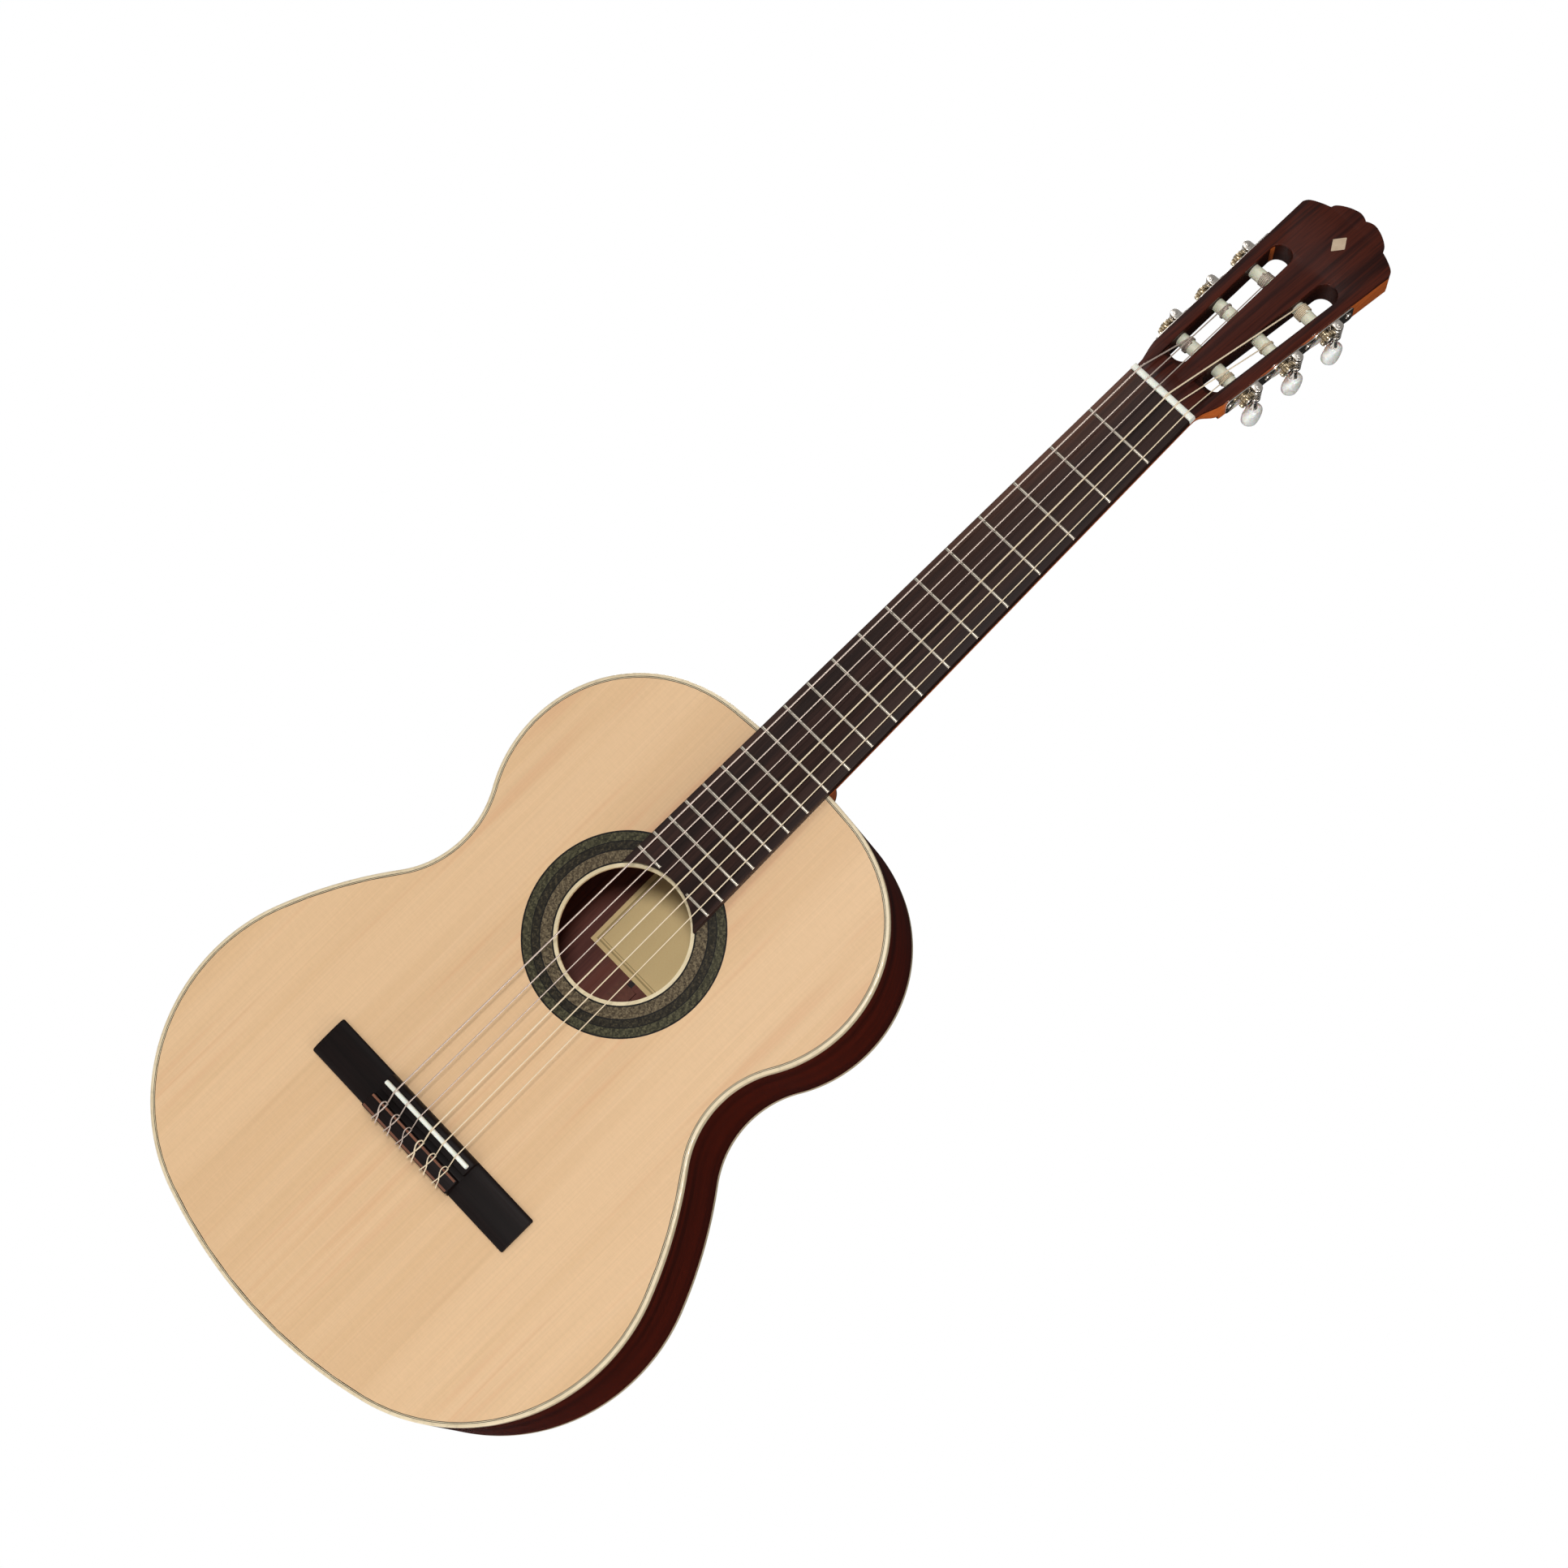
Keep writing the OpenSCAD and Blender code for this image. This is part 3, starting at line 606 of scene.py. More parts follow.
looks = {
    "spruce": spruce(),
    "mosaic": mosaic(),
    "paper": label_paper(),
    "board": board_look(),
    "wound": wound(),
    "pearl": pearl(),
    "cream": wood("cream_trim", [(0.3, 200, 180, 140), (0.6, 218, 202, 166),
                                 (0.8, 208, 190, 152)],
                  (60, 60, 8), (700, 700, 60), (0.25, 0.4), 0.85, Coat_Weight=0.4),
    "binding": wood("body_binding", [(0.3, 202, 182, 146), (0.6, 222, 205, 172),
                                     (0.8, 210, 192, 158)],
                    (20, 200, 20), (300, 900, 300), (0.25, 0.4), 0.85, Coat_Weight=0.4),
    "rib": wood("rib_rosewood", [(0.25, 22, 4, 2), (0.42, 56, 14, 6), (0.55, 78, 21, 8),
                                 (0.62, 34, 7, 3), (0.8, 60, 16, 7)],
                (1.6, 60, 1.6), (60, 1400, 60), (0.16, 0.26), 0.7, bump=0.04,
                Coat_Weight=0.08, Coat_Roughness=0.1, Specular_IOR_Level=0.12),
    "back": wood("back_rosewood", [(0.25, 34, 10, 6), (0.42, 72, 24, 12), (0.55, 94, 36, 18),
                                   (0.62, 50, 16, 9), (0.8, 80, 30, 15)],
                 (46, 2, 1.6), (1300, 60, 60), (0.18, 0.28), 0.7, book=True, bump=0.04,
                 Coat_Weight=0.6, Coat_Roughness=0.06),
    "back_inside": wood("bare_rosewood", [(0.25, 84, 38, 28), (0.45, 124, 64, 48),
                                          (0.62, 98, 46, 34), (0.8, 136, 74, 56)],
                        (46, 2, 1.6), (1300, 60, 60), (0.6, 0.75), 0.75, book=True),
    "cleat": wood("back_brace_cedar", [(0.3, 96, 50, 36), (0.7, 128, 72, 54)],
                  (300, 300, 300), (900, 900, 900), (0.6, 0.75), 0.85),
    # Painted shade with some stain: the walls inside the slots are coloured dark because they lie
    # in shade
    "slot_shade_and_stain": wood("painted_shade_and_stain_in_slots", [(0.3, 30, 9, 4), (0.7, 62, 22, 9)],
                      (70, 70, 6), (900, 900, 60), (0.5, 0.65), 0.75, Specular_IOR_Level=0.2),
    "graft": wood("dark_rosewood", [(0.3, 26, 10, 8), (0.7, 48, 20, 13)],
                  (90, 20, 8), (900, 400, 60), (0.2, 0.3), 0.7, Coat_Weight=0.5),
    "brace": wood("brace_spruce", [(0.3, 198, 160, 112), (0.7, 222, 188, 142)],
                  (300, 300, 300), (900, 900, 900), (0.6, 0.75), 0.85),
    "lining": wood("lining_cedar", [(0.3, 150, 96, 58), (0.7, 182, 126, 82)],
                   (200, 60, 200), (900, 300, 900), (0.6, 0.75), 0.85),
    "neck": wood("neck_cedar", [(0.25, 158, 72, 26), (0.45, 196, 100, 42),
                                (0.6, 178, 86, 34), (0.8, 206, 112, 52)],
                 (70, 70, 2.2), (1500, 1500, 45), (0.32, 0.42), 0.72, Coat_Weight=0.2,
                 Coat_Roughness=0.2),
    "veneer": wood("head_veneer", [(0.25, 20, 4, 2), (0.4, 46, 13, 6), (0.52, 70, 25, 12),
                                   (0.6, 34, 8, 4), (0.8, 54, 17, 8)],
                   (75, 4, 2.4), (1500, 60, 60), (0.3, 0.42), 0.7, Coat_Weight=0.06,
                   Coat_Roughness=0.1, Specular_IOR_Level=0.15),
    "bridge": wood("bridge_wood", [(0.3, 9, 5, 4), (0.6, 21, 11, 9), (0.8, 13, 7, 6)],
                   (4, 60, 110), (60, 900, 1500), (0.42, 0.55), 0.6, Specular_IOR_Level=0.12),
    "strip": wood("tie_block_strip", [(0.3, 92, 52, 34), (0.7, 124, 76, 50)],
                  (8, 200, 200), (60, 900, 900), (0.3, 0.42), 0.8),
    "fret": brushed("nickel_silver", (168, 158, 144), (190, 182, 168), (60, 900, 900),
                    (0.26, 0.42)),
    "plate": brushed("nickel_plate", (206, 198, 188), (226, 219, 210), (900, 900, 60),
                     (0.16, 0.32)),
    "gear": brushed("gear_metal", (176, 160, 134), (206, 190, 162), (400, 400, 400),
                    (0.22, 0.4)),
    "purfling": speckled("dark_purfling", (26, 20, 16), (44, 34, 26), 300, (0.35, 0.5)),
    "bone": speckled("bone", (232, 226, 210), (246, 242, 230), 240, (0.28, 0.42), 0.05,
                     Subsurface_Weight=0.15),
    "ivory": speckled("roller_ivory", (226, 218, 190), (240, 234, 212), 200, (0.25, 0.4),
                      0.04, Subsurface_Weight=0.15),
    "nylon": speckled("clear_nylon", (208, 188, 156), (224, 206, 178), 60, (0.3, 0.42),
                      Specular_IOR_Level=0.3),
    "inlay": speckled("inlay_shell", (166, 142, 116), (206, 184, 156), 260, (0.25, 0.4)),
}

# ---- CAD nodes that keep their shape ----

for node_name, look_name in {
    "soundboard": "spruce", "rosette": "mosaic", "soundhole_ring": "cream",
    "back_bass": "back", "back_treble": "back", "back_centre_strip": "graft",
    "linings": "lining", "tail_block": "lining", "end_graft": "graft",
    "harmonic_bars": "brace", "fan_braces": "brace", "bridge_plate": "brace",
    "back_braces": "cleat", "label": "paper",
}.items():
    node = cad_nodes[node_name]
    if not node.material_slots:
        node.data.materials.append(None)
    for holder in node.material_slots:
        holder.material = looks[look_name]
for node_name in ("back_bass", "back_treble"):
    mesh = cad_nodes[node_name].data
    mesh.materials.append(looks["back_inside"])
    for face in mesh.polygons:
        if face.normal.y < -0.5:
            face.material_index = len(mesh.materials) - 1

# ---- Body ----

OUTLINE_STEP = 1.5


def half_outline(inset):
    """Points from the neck round to the tail, as x and distance from the nut"""
    out, heading = [Vector((0, BODY_S + inset))], 0.0

    def run(p, heading, radius, sweep):
        centre = p + radius * Vector((-sin(radians(heading)), cos(radians(heading))))
        count = ceil(abs(sweep) / OUTLINE_STEP)
        return [centre + radius * Vector((sin(a), -cos(a)))
                for a in map(radians, spread(heading, heading + sweep, count)[1:])]

    for radius, sweep in ARCS:
        out += run(out[-1], heading, radius - inset, sweep)
        heading += sweep
    last = 180 - heading
    out += run(out[-1], heading, out[-1].x / sin(radians(last)), last)
    return out


def outline_from(inset, cut_x, from_tail=None):
    """The half outline from where it passes cut_x to the tail, or to where it passes
    from_tail"""
    outer, points = half_outline(0), half_outline(inset)
    start = next(i for i in range(1, len(outer)) if outer[i].x >= cut_x)
    t = (cut_x - outer[start - 1].x) / (outer[start].x - outer[start - 1].x)
    out = [points[start - 1].lerp(points[start], t)] + points[start:]
    if from_tail is not None:
        end = next(i for i in range(len(outer) - 1, 0, -1) if outer[i].x >= from_tail)
        t = (outer[end].x - from_tail) / (outer[end].x - outer[end + 1].x)
        out = out[:len(out) - (len(outer) - 1 - end)] + [points[end].lerp(points[end + 1], t)]
    return out


def back_y(s):
    """Depth of the back's outer face"""
    return HEEL_DEPTH + (TAIL_DEPTH - HEEL_DEPTH) * (s - BODY_S) / (TAIL_S - BODY_S)


def mirrored(points):
    return [(-x, y, z) for x, y, z in points]


def swept(section, cut_x, from_tail=None, whole=True):
    """A section of inset and depth, swept round the treble half of the outline or all of it.
    A depth is a number from the front or ("back", number) from the back's face."""
    def depth(y, s):
        return back_y(s) - y[1] if isinstance(y, tuple) else y

    lines = [(outline_from(inset, cut_x, from_tail), y) for inset, y in section]
    count = len(lines[0][0])
    rings = [[(line[i].x, depth(y, line[i].y), -line[i].y) for line, y in lines]
             for i in range(count)]
    if whole:
        rings += [mirrored(ring) for ring in reversed(rings[:-1])]
    return loft(rings)


round_edge = [(RIB_T, 0), (0.9, 0), (0.52, 0.08), (0.2, 0.26), (0.05, 0.55), (0, 0.9)]
piece("top_binding_trim",
      swept(round_edge + [(0, BINDING_H), (RIB_T, BINDING_H)], JOINT_W / 2),
      "binding", "cream_trim", node="top_binding")
piece("back_binding_trim",
      swept([(i, ("back", d)) for i, d in round_edge]
            + [(0, ("back", BINDING_H)), (RIB_T, ("back", BINDING_H))], BACK_GAP / 2),
      "binding", "cream_trim", node="back_binding")
for k, look_name in enumerate(("purfling", "cream", "purfling")):
    low, high = RIB_T + PURFLING_T * k, RIB_T + PURFLING_T * (k + 1)
    piece(f"top_purfling_{k + 1}",
          swept([(low, 0), (high, 0), (high, PURFLING_H), (low, PURFLING_H)], JOINT_W / 2),
          look_name, "dark_purfling" if look_name == "purfling" else "cream_trim",
          node="top_purfling")
rib = swept([(0, BINDING_H), (0, ("back", BINDING_H)), (RIB_T, ("back", BINDING_H)),
             (RIB_T, BINDING_H)], BACK_GAP / 2, GRAFT_W / 2, whole=False)
piece("rib_treble", rib, "rib", "rosewood", node="side_treble")
piece("rib_bass", (mirrored(rib[0]), rib[1]), "rib", "rosewood", node="side_bass")

# ---- Neck ----


def neck_section(half, depth, across, down):
    """Outline of the neck's back with straight flanks above the fingerboard's plane"""
    arc = [(half * copysign(abs(cos(a)) ** across, cos(a)), depth * sin(a) ** down)
           for a in spread(0, pi, 40)[1:-1]]
    return [(half, -4), (half, 0)] + arc + [(-half, 0), (-half, -4)]


def head_half(w):
    """Half width of the head below its shoulders"""
    table = [(0, NUT_W / 2), (5, 26.6), (14.5, 29.55), (SHOULDER, HEAD_LOW / 2), (30, 31.3)]
    for (w0, h0), (w1, h1) in zip(table, table[1:]):
        if w <= w1:
            return h0 + (h1 - h0) * (w - w0) / (w1 - w0)
    return table[-1][1]


# Sections from the heel to the head, where the half round turns into a flat back
stations = []
for s in [BODY_S + 9, BODY_S] + list(range(310, 0, -15)) + [0]:
    depth = NECK_T + 2 * min(s, 250) / 250
    stations.append((shift(0, 0, -s),
                     neck_section(min(board_half(s), JOINT_W / 2), depth, 1, 0.85)))
stations.append((shift(0, 0, NUT_T) @ Matrix.Rotation(-TILT / 2, 4, "X"),
                 neck_section(NUT_W / 2, NECK_T + 1, 1, 0.82)))
for w in (5, 8, 11, 14, 17, 20, 24):
    blend = eased(w / HEAD_BLEND)
    stations.append((HEAD @ shift(0, 0, w),
                     neck_section(head_half(w), NECK_T + 1 + blend, 1 - 0.8 * blend,
                                  0.82 - 0.64 * blend)))
shaft = loft([[tuple(m @ Vector((x, y, 0))) for x, y in section] for m, section in stations])

HEEL_END = HEEL_DEPTH - CAP_T


def heel_ring(y, count=40):
    """The heel at one depth: wide under the fingerboard, narrow at its cap"""
    u = max(0, (HEEL_END - y) / HEEL_END)
    half = HEEL_TIP_W / 2 + (JOINT_W / 2 - 14) * u ** 0.8
    reach = HEEL_TIP_REACH + 4 * u + 32 * u ** 3.5
    return [(half * cos(a), y, reach * sin(a) - BODY_S - HEEL_BASE)
            for a in spread(pi, 0, count)]


heel = loft([heel_ring(y) for y in range(6, 97, 3)])


def sliced(obj, point, normal):
    """Cuts away what lies on the normal's side of a plane, and closes the cut"""
    bm = bmesh.new()
    bm.from_mesh(obj.data)
    made = bmesh.ops.bisect_plane(bm, geom=bm.verts[:] + bm.edges[:] + bm.faces[:],
                                  plane_co=Vector(point) * MM, plane_no=unit(normal),
                                  clear_outer=True)
    edges = [g for g in made["geom_cut"] if isinstance(g, bmesh.types.BMEdge)]
    bmesh.ops.holes_fill(bm, edges=edges, sides=0)
    bm.to_mesh(obj.data)
    bm.free()


neck = cut(to_object("neck_shaft", shaft), heel, operation="UNION")
remesh = neck.modifiers.new("remesh", "REMESH")
remesh.mode, remesh.voxel_size = "VOXEL", 0.9 * MM
soften = neck.modifiers.new("soften", "SMOOTH")
soften.factor, soften.iterations = 0.5, 14
applied(neck)
back_normal = (0, 1, (TAIL_DEPTH - HEEL_DEPTH) / (TAIL_S - BODY_S))
sliced(neck, (0, 0, 0), (0, -1, 0))
sliced(neck, (0, 0, NUT_T), (0, -cos(TILT), sin(TILT)))
sliced(neck, (0, 0, -BODY_S - 2), (0, 0, -1))
sliced(neck, (0, HEEL_END, -BODY_S), back_normal)
sliced(neck, HEAD @ Vector((0, 0, NECK_TO)), HEAD.to_3x3() @ Vector((0, 0, 1)))

crown = (curved([(HEAD_TOP / 2, CROWN), (36.9, 166.6), (34, 168.9), (28.6, 171.6), (23, 173.7)], 6)
         + curved([(23, 173.7), (21.8, 176.6), (18.5, 179.6), (13.6, 182.4), (8.5, 184.2)], 6)[1:]
         + curved([(8.5, 184.2), (5.6, 184.4), (2.4, 183.6), (0, 182.3)], 5)[1:])
crown = [(p[0], p[1]) for p in crown]


def head_outline(low, inset=0.0):
    half = [(head_half(w) - inset, w) for w in (low, 5, 14.5, SHOULDER) if w >= low]
    half += [(x - inset, w - inset * (w > CROWN)) for x, w in crown]
    return half + [(-x, w) for x, w in reversed(half[:-1])]


def stadium(side):
    """One string slot, drawn in the head's plane"""
    r = SLOT_W / 2
    loop = [(SLOT_MID + r * cos(a), end + r * sin(a))
            for end, start in ((SLOT_Z[1] - r, 0), (SLOT_Z[0] + r, pi))
            for a in spread(start, start + pi, 20)]
    c, s = cos(TAPER), sin(TAPER)
    return [(side * (HEAD_LOW / 2 + x * c + z * s), SHOULDER - x * s + z * c)
            for x, z in loop]


def ramp_cutter(side):
    """The sloping mouth that leads the strings from the nut down into a slot"""
    ramp = rounded([(-6, -24), (-2.6, -10), (-1.2, -5), (3, 12), (-6, 12)],
                   [0, 3, 3, 0, 0])
    shape = run_x(ramp, -WALL_T - SLOT_W + 0.02, -WALL_T - 0.02)
    return placed(tuner_frame(side), shape)


slots = [stadium(1), stadium(-1)]
mouths = [ramp_cutter(1), ramp_cutter(-1)]
head_block = slab(head_outline(HEAD_FROM, 0.03), -0.9, HEAD_T, (0.5, 1.4), slots, 4)
head = to_object("head_wood", placed(HEAD, head_block))
cut(head, *mouths)
cut(neck, *mouths)
dress(neck, "neck", "neck_wood", node="neck", sharp=40)
dress(head, "neck", "neck_wood", node="neck")
into_head = HEAD.inverted()

# Painted shade, with a reddish-brown stain, on the walls of the slots and of their mouths
for part in (neck, head):
    part.data.materials.append(looks["slot_shade_and_stain"])
    for face in part.data.polygons:
        spot, facing = into_head @ (face.center / MM), into_head.to_3x3() @ face.normal
        if facing.y < 0.6 and 6 < spot.z < 150 and abs(spot.x) < head_half(spot.z) - 4:
            face.material_index = 1
foot_loop = [(-FOOT_W / 2, -BODY_S - 2.3), (FOOT_W / 2, -BODY_S - 2.3),
             (FOOT_W / 2, -FOOT_BACK), (-FOOT_W / 2, -FOOT_BACK)]
foot = slab(rounded(foot_loop, 1.5), TOP_T, HEEL_DEPTH - 2.7, (0.2, 0.8))
piece("neck_foot", foot, "neck", "neck_wood", node="neck")

sheet = slab(head_outline(0), -VENEER_T, 0.15, (0.45, 0.05), slots, 4)
veneer = cut(to_object("head_face", placed(HEAD, sheet)), *mouths)
dress(veneer, "veneer", "head_veneer", node="headplate")

cap_ring = [(x, z) for x, _, z in heel_ring(HEEL_END, 60) if z > -BODY_S]
cap_edge = sqrt(1 - (HEEL_BASE / HEEL_TIP_REACH) ** 2) * HEEL_TIP_W / 2
cap_ring = [(-cap_edge, -BODY_S)] + cap_ring + [(cap_edge, -BODY_S)]
BACK = (shift(0, HEEL_DEPTH, -BODY_S) @ Matrix.Rotation(atan(back_normal[2]), 4, "X")
        @ shift(0, 0, BODY_S))
piece("heel_cap_trim", placed(BACK, slab(cap_ring, -CAP_T, -0.3, (0.05, 0.8))), "graft",
      "rosewood", node="heel_cap")

# ---- Fingerboard, frets and nut ----

end_half = board_half(HOLE_S - 30)
end_s = HOLE_S - sqrt(RING_R ** 2 - end_half ** 2)
end_angle = asin(end_half / RING_R)
board = [(-NUT_W / 2, 0), (NUT_W / 2, 0), (board_half(end_s), -end_s)]
board += [(RING_R * sin(a), RING_R * cos(a) - HOLE_S)
          for a in spread(end_angle, -end_angle, 40)[1:-1]]
board.append((-board_half(end_s), -end_s))
piece("fingerboard_face", slab(board, -BOARD_T, 0.1, (0.5, 0.05)), "board",
      "fingerboard_wood", node="fingerboard")


def fret(x0, x1, s):
    """A domed fret wire with filed ends"""
    filed = [(0, 0.12), (0.25, 0.55), (0.6, 0.86), (1.1, 1)]
    return loft([[(x, -BOARD_T + 0.1, -s - FRET_R)]
                 + [(x, -BOARD_T - share * sin(a) ** 0.8, -s - FRET_R * cos(a))
                    for a in spread(0, pi, 12)]
                 + [(x, -BOARD_T + 0.1, -s + FRET_R)]
                 for x, share in [(x0 + d, share) for d, share in filed]
                 + [(x1 - d, share) for d, share in reversed(filed)]])


wires = []
for n in range(1, LAST_FRET + 1):
    s, half = fret_s(n), board_half(fret_s(n)) - 0.2
    runs = [(-half, -FRET_GAP / 2), (FRET_GAP / 2, half)] if n == LAST_FRET else [(-half, half)]
    wires += [fret(a, b, s) for a, b in runs]
piece("fret_wires", merged(*wires), "fret", "nickel_silver", node="frets")

nut_profile = [(0, 0.25), (-6.0, 0.25), (-7.0, 0.3), (-7.6, 0.55), (-7.9, 1.1), (-7.95, 1.9),
               (-7.85, 2.8), (-7.55, 3.8), (-7.1, 4.5), (-6.4, 4.9), (-5.6, 5.0), (0, 5.0)]
columns = {-NUT_W / 2, NUT_W / 2, -NUT_W / 2 + 0.2, NUT_W / 2 - 0.2, *range(-25, 26)}
for n in range(1, 7):
    r = STRING_R[n - 1] + STRING_GAP
    columns |= {round(string_x(n, 0) + r * t, 4)
                for t in (-1.02, -1, -0.9, -0.7, -0.4, 0, 0.4, 0.7, 0.9, 1, 1.02)}


def nut_top(x):
    """Height of the nut, which has a round groove under each string"""
    for n in range(1, 7):
        r, dx = STRING_R[n - 1] + STRING_GAP, abs(x - string_x(n, 0))
        if dx <= r:
            return NUT_FLOOR + r - sqrt(max(0, r * r - dx * dx))
    return NUT_FLOOR + 2


nut_rings = []
for x in sorted(columns):
    end = 0.25 if abs(x) > NUT_W / 2 - 0.1 else 0
    nut_rings.append([(x, max(min(0, y + end), -nut_top(x)), z) for y, z in nut_profile])
piece("nut_bone", loft(nut_rings), "bone", "bone", node="nut", sharp=40)

# ---- Bridge and saddle ----

edge = [(0.05, 0), (-1.6, 0), (-2.5, 1.3), (-3.15, 4), (-3.4, 8)]
wing = ([(y, -BRIDGE_BACK + z) for y, z in edge]
        + [(y, -BRIDGE_FRONT - z) for y, z in reversed(edge)])
block = [(0.05, -BRIDGE_FRONT), (-4.4, -BRIDGE_FRONT), (-7.6, -BRIDGE_FRONT - 1.6),
         (-8.2, -BRIDGE_FRONT - 4.4), (-8.2, -CHANNEL_S[0]), (-4, -CHANNEL_S[0]),
         (-4, -CHANNEL_S[1]), (-9, -CHANNEL_S[1]), (-9, -BRIDGE_BACK), (0.05, -BRIDGE_BACK)]
block = rounded(block, [0, 1.2, 1.5, 1.2, 0.4, 0.8, 0.8, 0.5, 0.9, 0])
bridge = to_object("bridge_body", merged(
    run_x(rounded(wing, 1.2), -BRIDGE_LEN / 2, BRIDGE_LEN / 2, 1.3, 4),
    run_x(block, -BLOCK_LEN / 2, BLOCK_LEN / 2, 0.7)))
drill, drill_faces = lathe([(658, 1.1), (673, 1.1)], 20)
cut(bridge, merged(*[([(string_x(n, SCALE) + y, z - HOLE_H, -x) for x, y, z in drill],
                      drill_faces) for n in range(1, 7)]))
dress(bridge, "bridge", "bridge_wood", node="bridge")
for k, s in enumerate(STRIP_S):
    low, high = -s - STRIP_W / 2, -s + STRIP_W / 2
    piece(f"tie_strip_{k + 1}",
          run_x([(-8.5, low), (-9.03, low), (-9.03, high), (-8.5, high)],
                -BLOCK_LEN / 2 + 0.8, BLOCK_LEN / 2 - 0.8, 0.02, 1),
          "strip", "rosewood")
saddle = ([(-3.6, -SCALE - SADDLE_R)]
          + [(-SADDLE_TOP + SADDLE_R * (1 - sin(a)), -SCALE - SADDLE_R * cos(a))
             for a in spread(0, pi, 14)]
          + [(-3.6, -SCALE + SADDLE_R)])
piece("saddle_bone", run_x(saddle, -SADDLE_LEN / 2, SADDLE_LEN / 2, 0.5), "bone", "bone",
      node="saddle")

# ---- Strings ----


def landing(n):
    """Where a string meets its roller, in the roller's own frame"""
    k = ROLLER_OF[n - 1]
    z = FIRST_ROLLER + k * ROLLER_PITCH
    return (LANDING[k] - HEAD_LOW / 2 - z * sin(TAPER)) / cos(TAPER)


# The tied end of a string: offset to the side, height, string radii on top of it, distance
KNOT = [(0, 7.4, 0, 657.5), (0, 6.2, 0, 660), (0, 6, 0, 662), (0, 6, 0, 671),
        (0, 6.2, 0, 672.4), (0.1, 7.8, 0, 673), (0.4, 9.3, 0, 672.2), (1, 9.2, 1, 669),
        (1.5, 9.2, 1, 664), (1.5, 9.1, 1, 660.8), (1, 7.9, 0, 659.4), (-0.2, 7, 1, 659.2),
        (-1.2, 7.9, 0, 659.5), (-1.6, 9.1, 1, 661), (-1.2, 9.2, 1, 663.6), (0.6, 9.3, 3, 666),
        (2.2, 9.1, 1, 668.4), (3.4, 9.1, 1, 671.2), (4, 8.4, 0, 673.2)]
# Turns of string on the rollers, from the nut up the head
TURNS = [3, 2, 5]

for n in range(1, 7):
    r, x = STRING_R[n - 1], string_x(n, SCALE)
    look_name, slot = ("nylon", "clear_nylon") if n <= 3 else ("wound", "wound_string")
    start = roller_frame(n) @ Vector((landing(n), -ROLLER_R - r, 0))

    def on(s, lift=0.0):
        return Vector((string_x(n, s), -string_h(n, s) - lift, -s))

    behind = on(-NUT_T - 0.4)
    path = curved([start, start.lerp(behind, 0.5), behind + unit(start - behind) * 1.5,
                   on(-2.5, 0.06), on(0.5)], 5)[:-1]
    path += [on(s) for s in spread(0.5, SCALE - 2, 40)]
    path += curved([on(SCALE - 1.5), on(SCALE, 0.05), on(SCALE + 1.2, -0.35)]
                   + [Vector((x + dx, -h - k * r, -s)) for dx, h, k, s in KNOT], 5)
    piece(f"string_line_{n}", tube(path, r), look_name, slot,
          node=f"string_{n}", sharp=70)

    reach, turns = r + ROLLER_R, TURNS[ROLLER_OF[n - 1]]
    coil = [Vector((landing(n) + (SLOT_MID - landing(n)) * t,
                    -reach * cos(2 * pi * turns * t),
                    reach * sin(2 * pi * turns * t)))
            for t in spread(0, 1, turns * 28)]
    coil += [Vector((SLOT_MID, -reach + 1.2, 0.1)), Vector((SLOT_MID, 0, 0)),
             Vector((SLOT_MID, reach - 0.6, 0)), Vector((SLOT_MID + 0.3, reach + 1.2, 0.6)),
             Vector((SLOT_MID + 1.2, reach + 2.2, 2.4))]
    piece(f"string_coil_{n}", placed(roller_frame(n), tube(coil, r, 14)), look_name,
          slot, body=f"string_roller_{n}", sharp=70)

# ---- Tuners ----


def slotted(shape_profile, x_top, width):
    """A turned screw head with a driver slot across it"""
    head = to_object("screw", lathe(shape_profile, 28))
    reach = 4
    bar = run_x([(-width / 2, -reach), (width / 2, -reach), (width / 2, reach),
                 (-width / 2, reach)], x_top - 0.45, x_top + 1)
    cut(head, bar)
    shape = ([tuple(v.co / MM) for v in head.data.vertices],
             [tuple(p.vertices) for p in head.data.polygons])
    bpy.data.objects.remove(head)
    return shape


screw_head = slotted([(-1.0, 2.6), (0.35, 2.6), (0.7, 2.3), (0.93, 1.5), (1.0, 0.6)], 1.0, 0.55)
gear_screw = slotted([(0, 2.7), (0.75, 2.7), (1.1, 2.4), (1.3, 1.7), (1.3, 0.6)], 1.3, 0.6)


def tooth(a):
    """One tooth of the gear, from radii and the tooth's width at each"""
    flank = [(4.7, 1.42), (5.2, 1.15), (5.6, 0.95), (6.0, 0.74), (6.2, 0.5)]
    return [(r * cos(a + side * width / 2 / r), r * sin(a + side * width / 2 / r))
            for side in (-1, 1) for r, width in flank[::-side]]


gear_loop = [p for a in around(TEETH) for p in tooth(pi / 2 + a)]
gear_shape = merged(
    run_x(gear_loop, GEAR_MID - GEAR_HALF, GEAR_MID + GEAR_HALF, 0.12, 2),
    rod(PLATE_T + 0.15, GEAR_MID - GEAR_HALF + 0.3, 3.2, 0.25),
    lathe([(GEAR_MID + GEAR_HALF - 0.2, 3.6), (GEAR_MID + GEAR_HALF + 0.12, 3.6),
           (GEAR_MID + GEAR_HALF + 0.2, 3.4)]))


def worm_radius(along, a):
    """Radius of the threaded stretch at a distance along it and an angle round it"""
    off = abs((along / WORM_LEAD + a / 2 / pi) % 1 - 0.5) * 2
    crest = eased((off - 0.40) / 0.26)
    fade = min(1, max(0, (WORM_HALF - 0.2 - abs(along)) / 0.5))
    return 1.6 + 1.5 * crest * fade


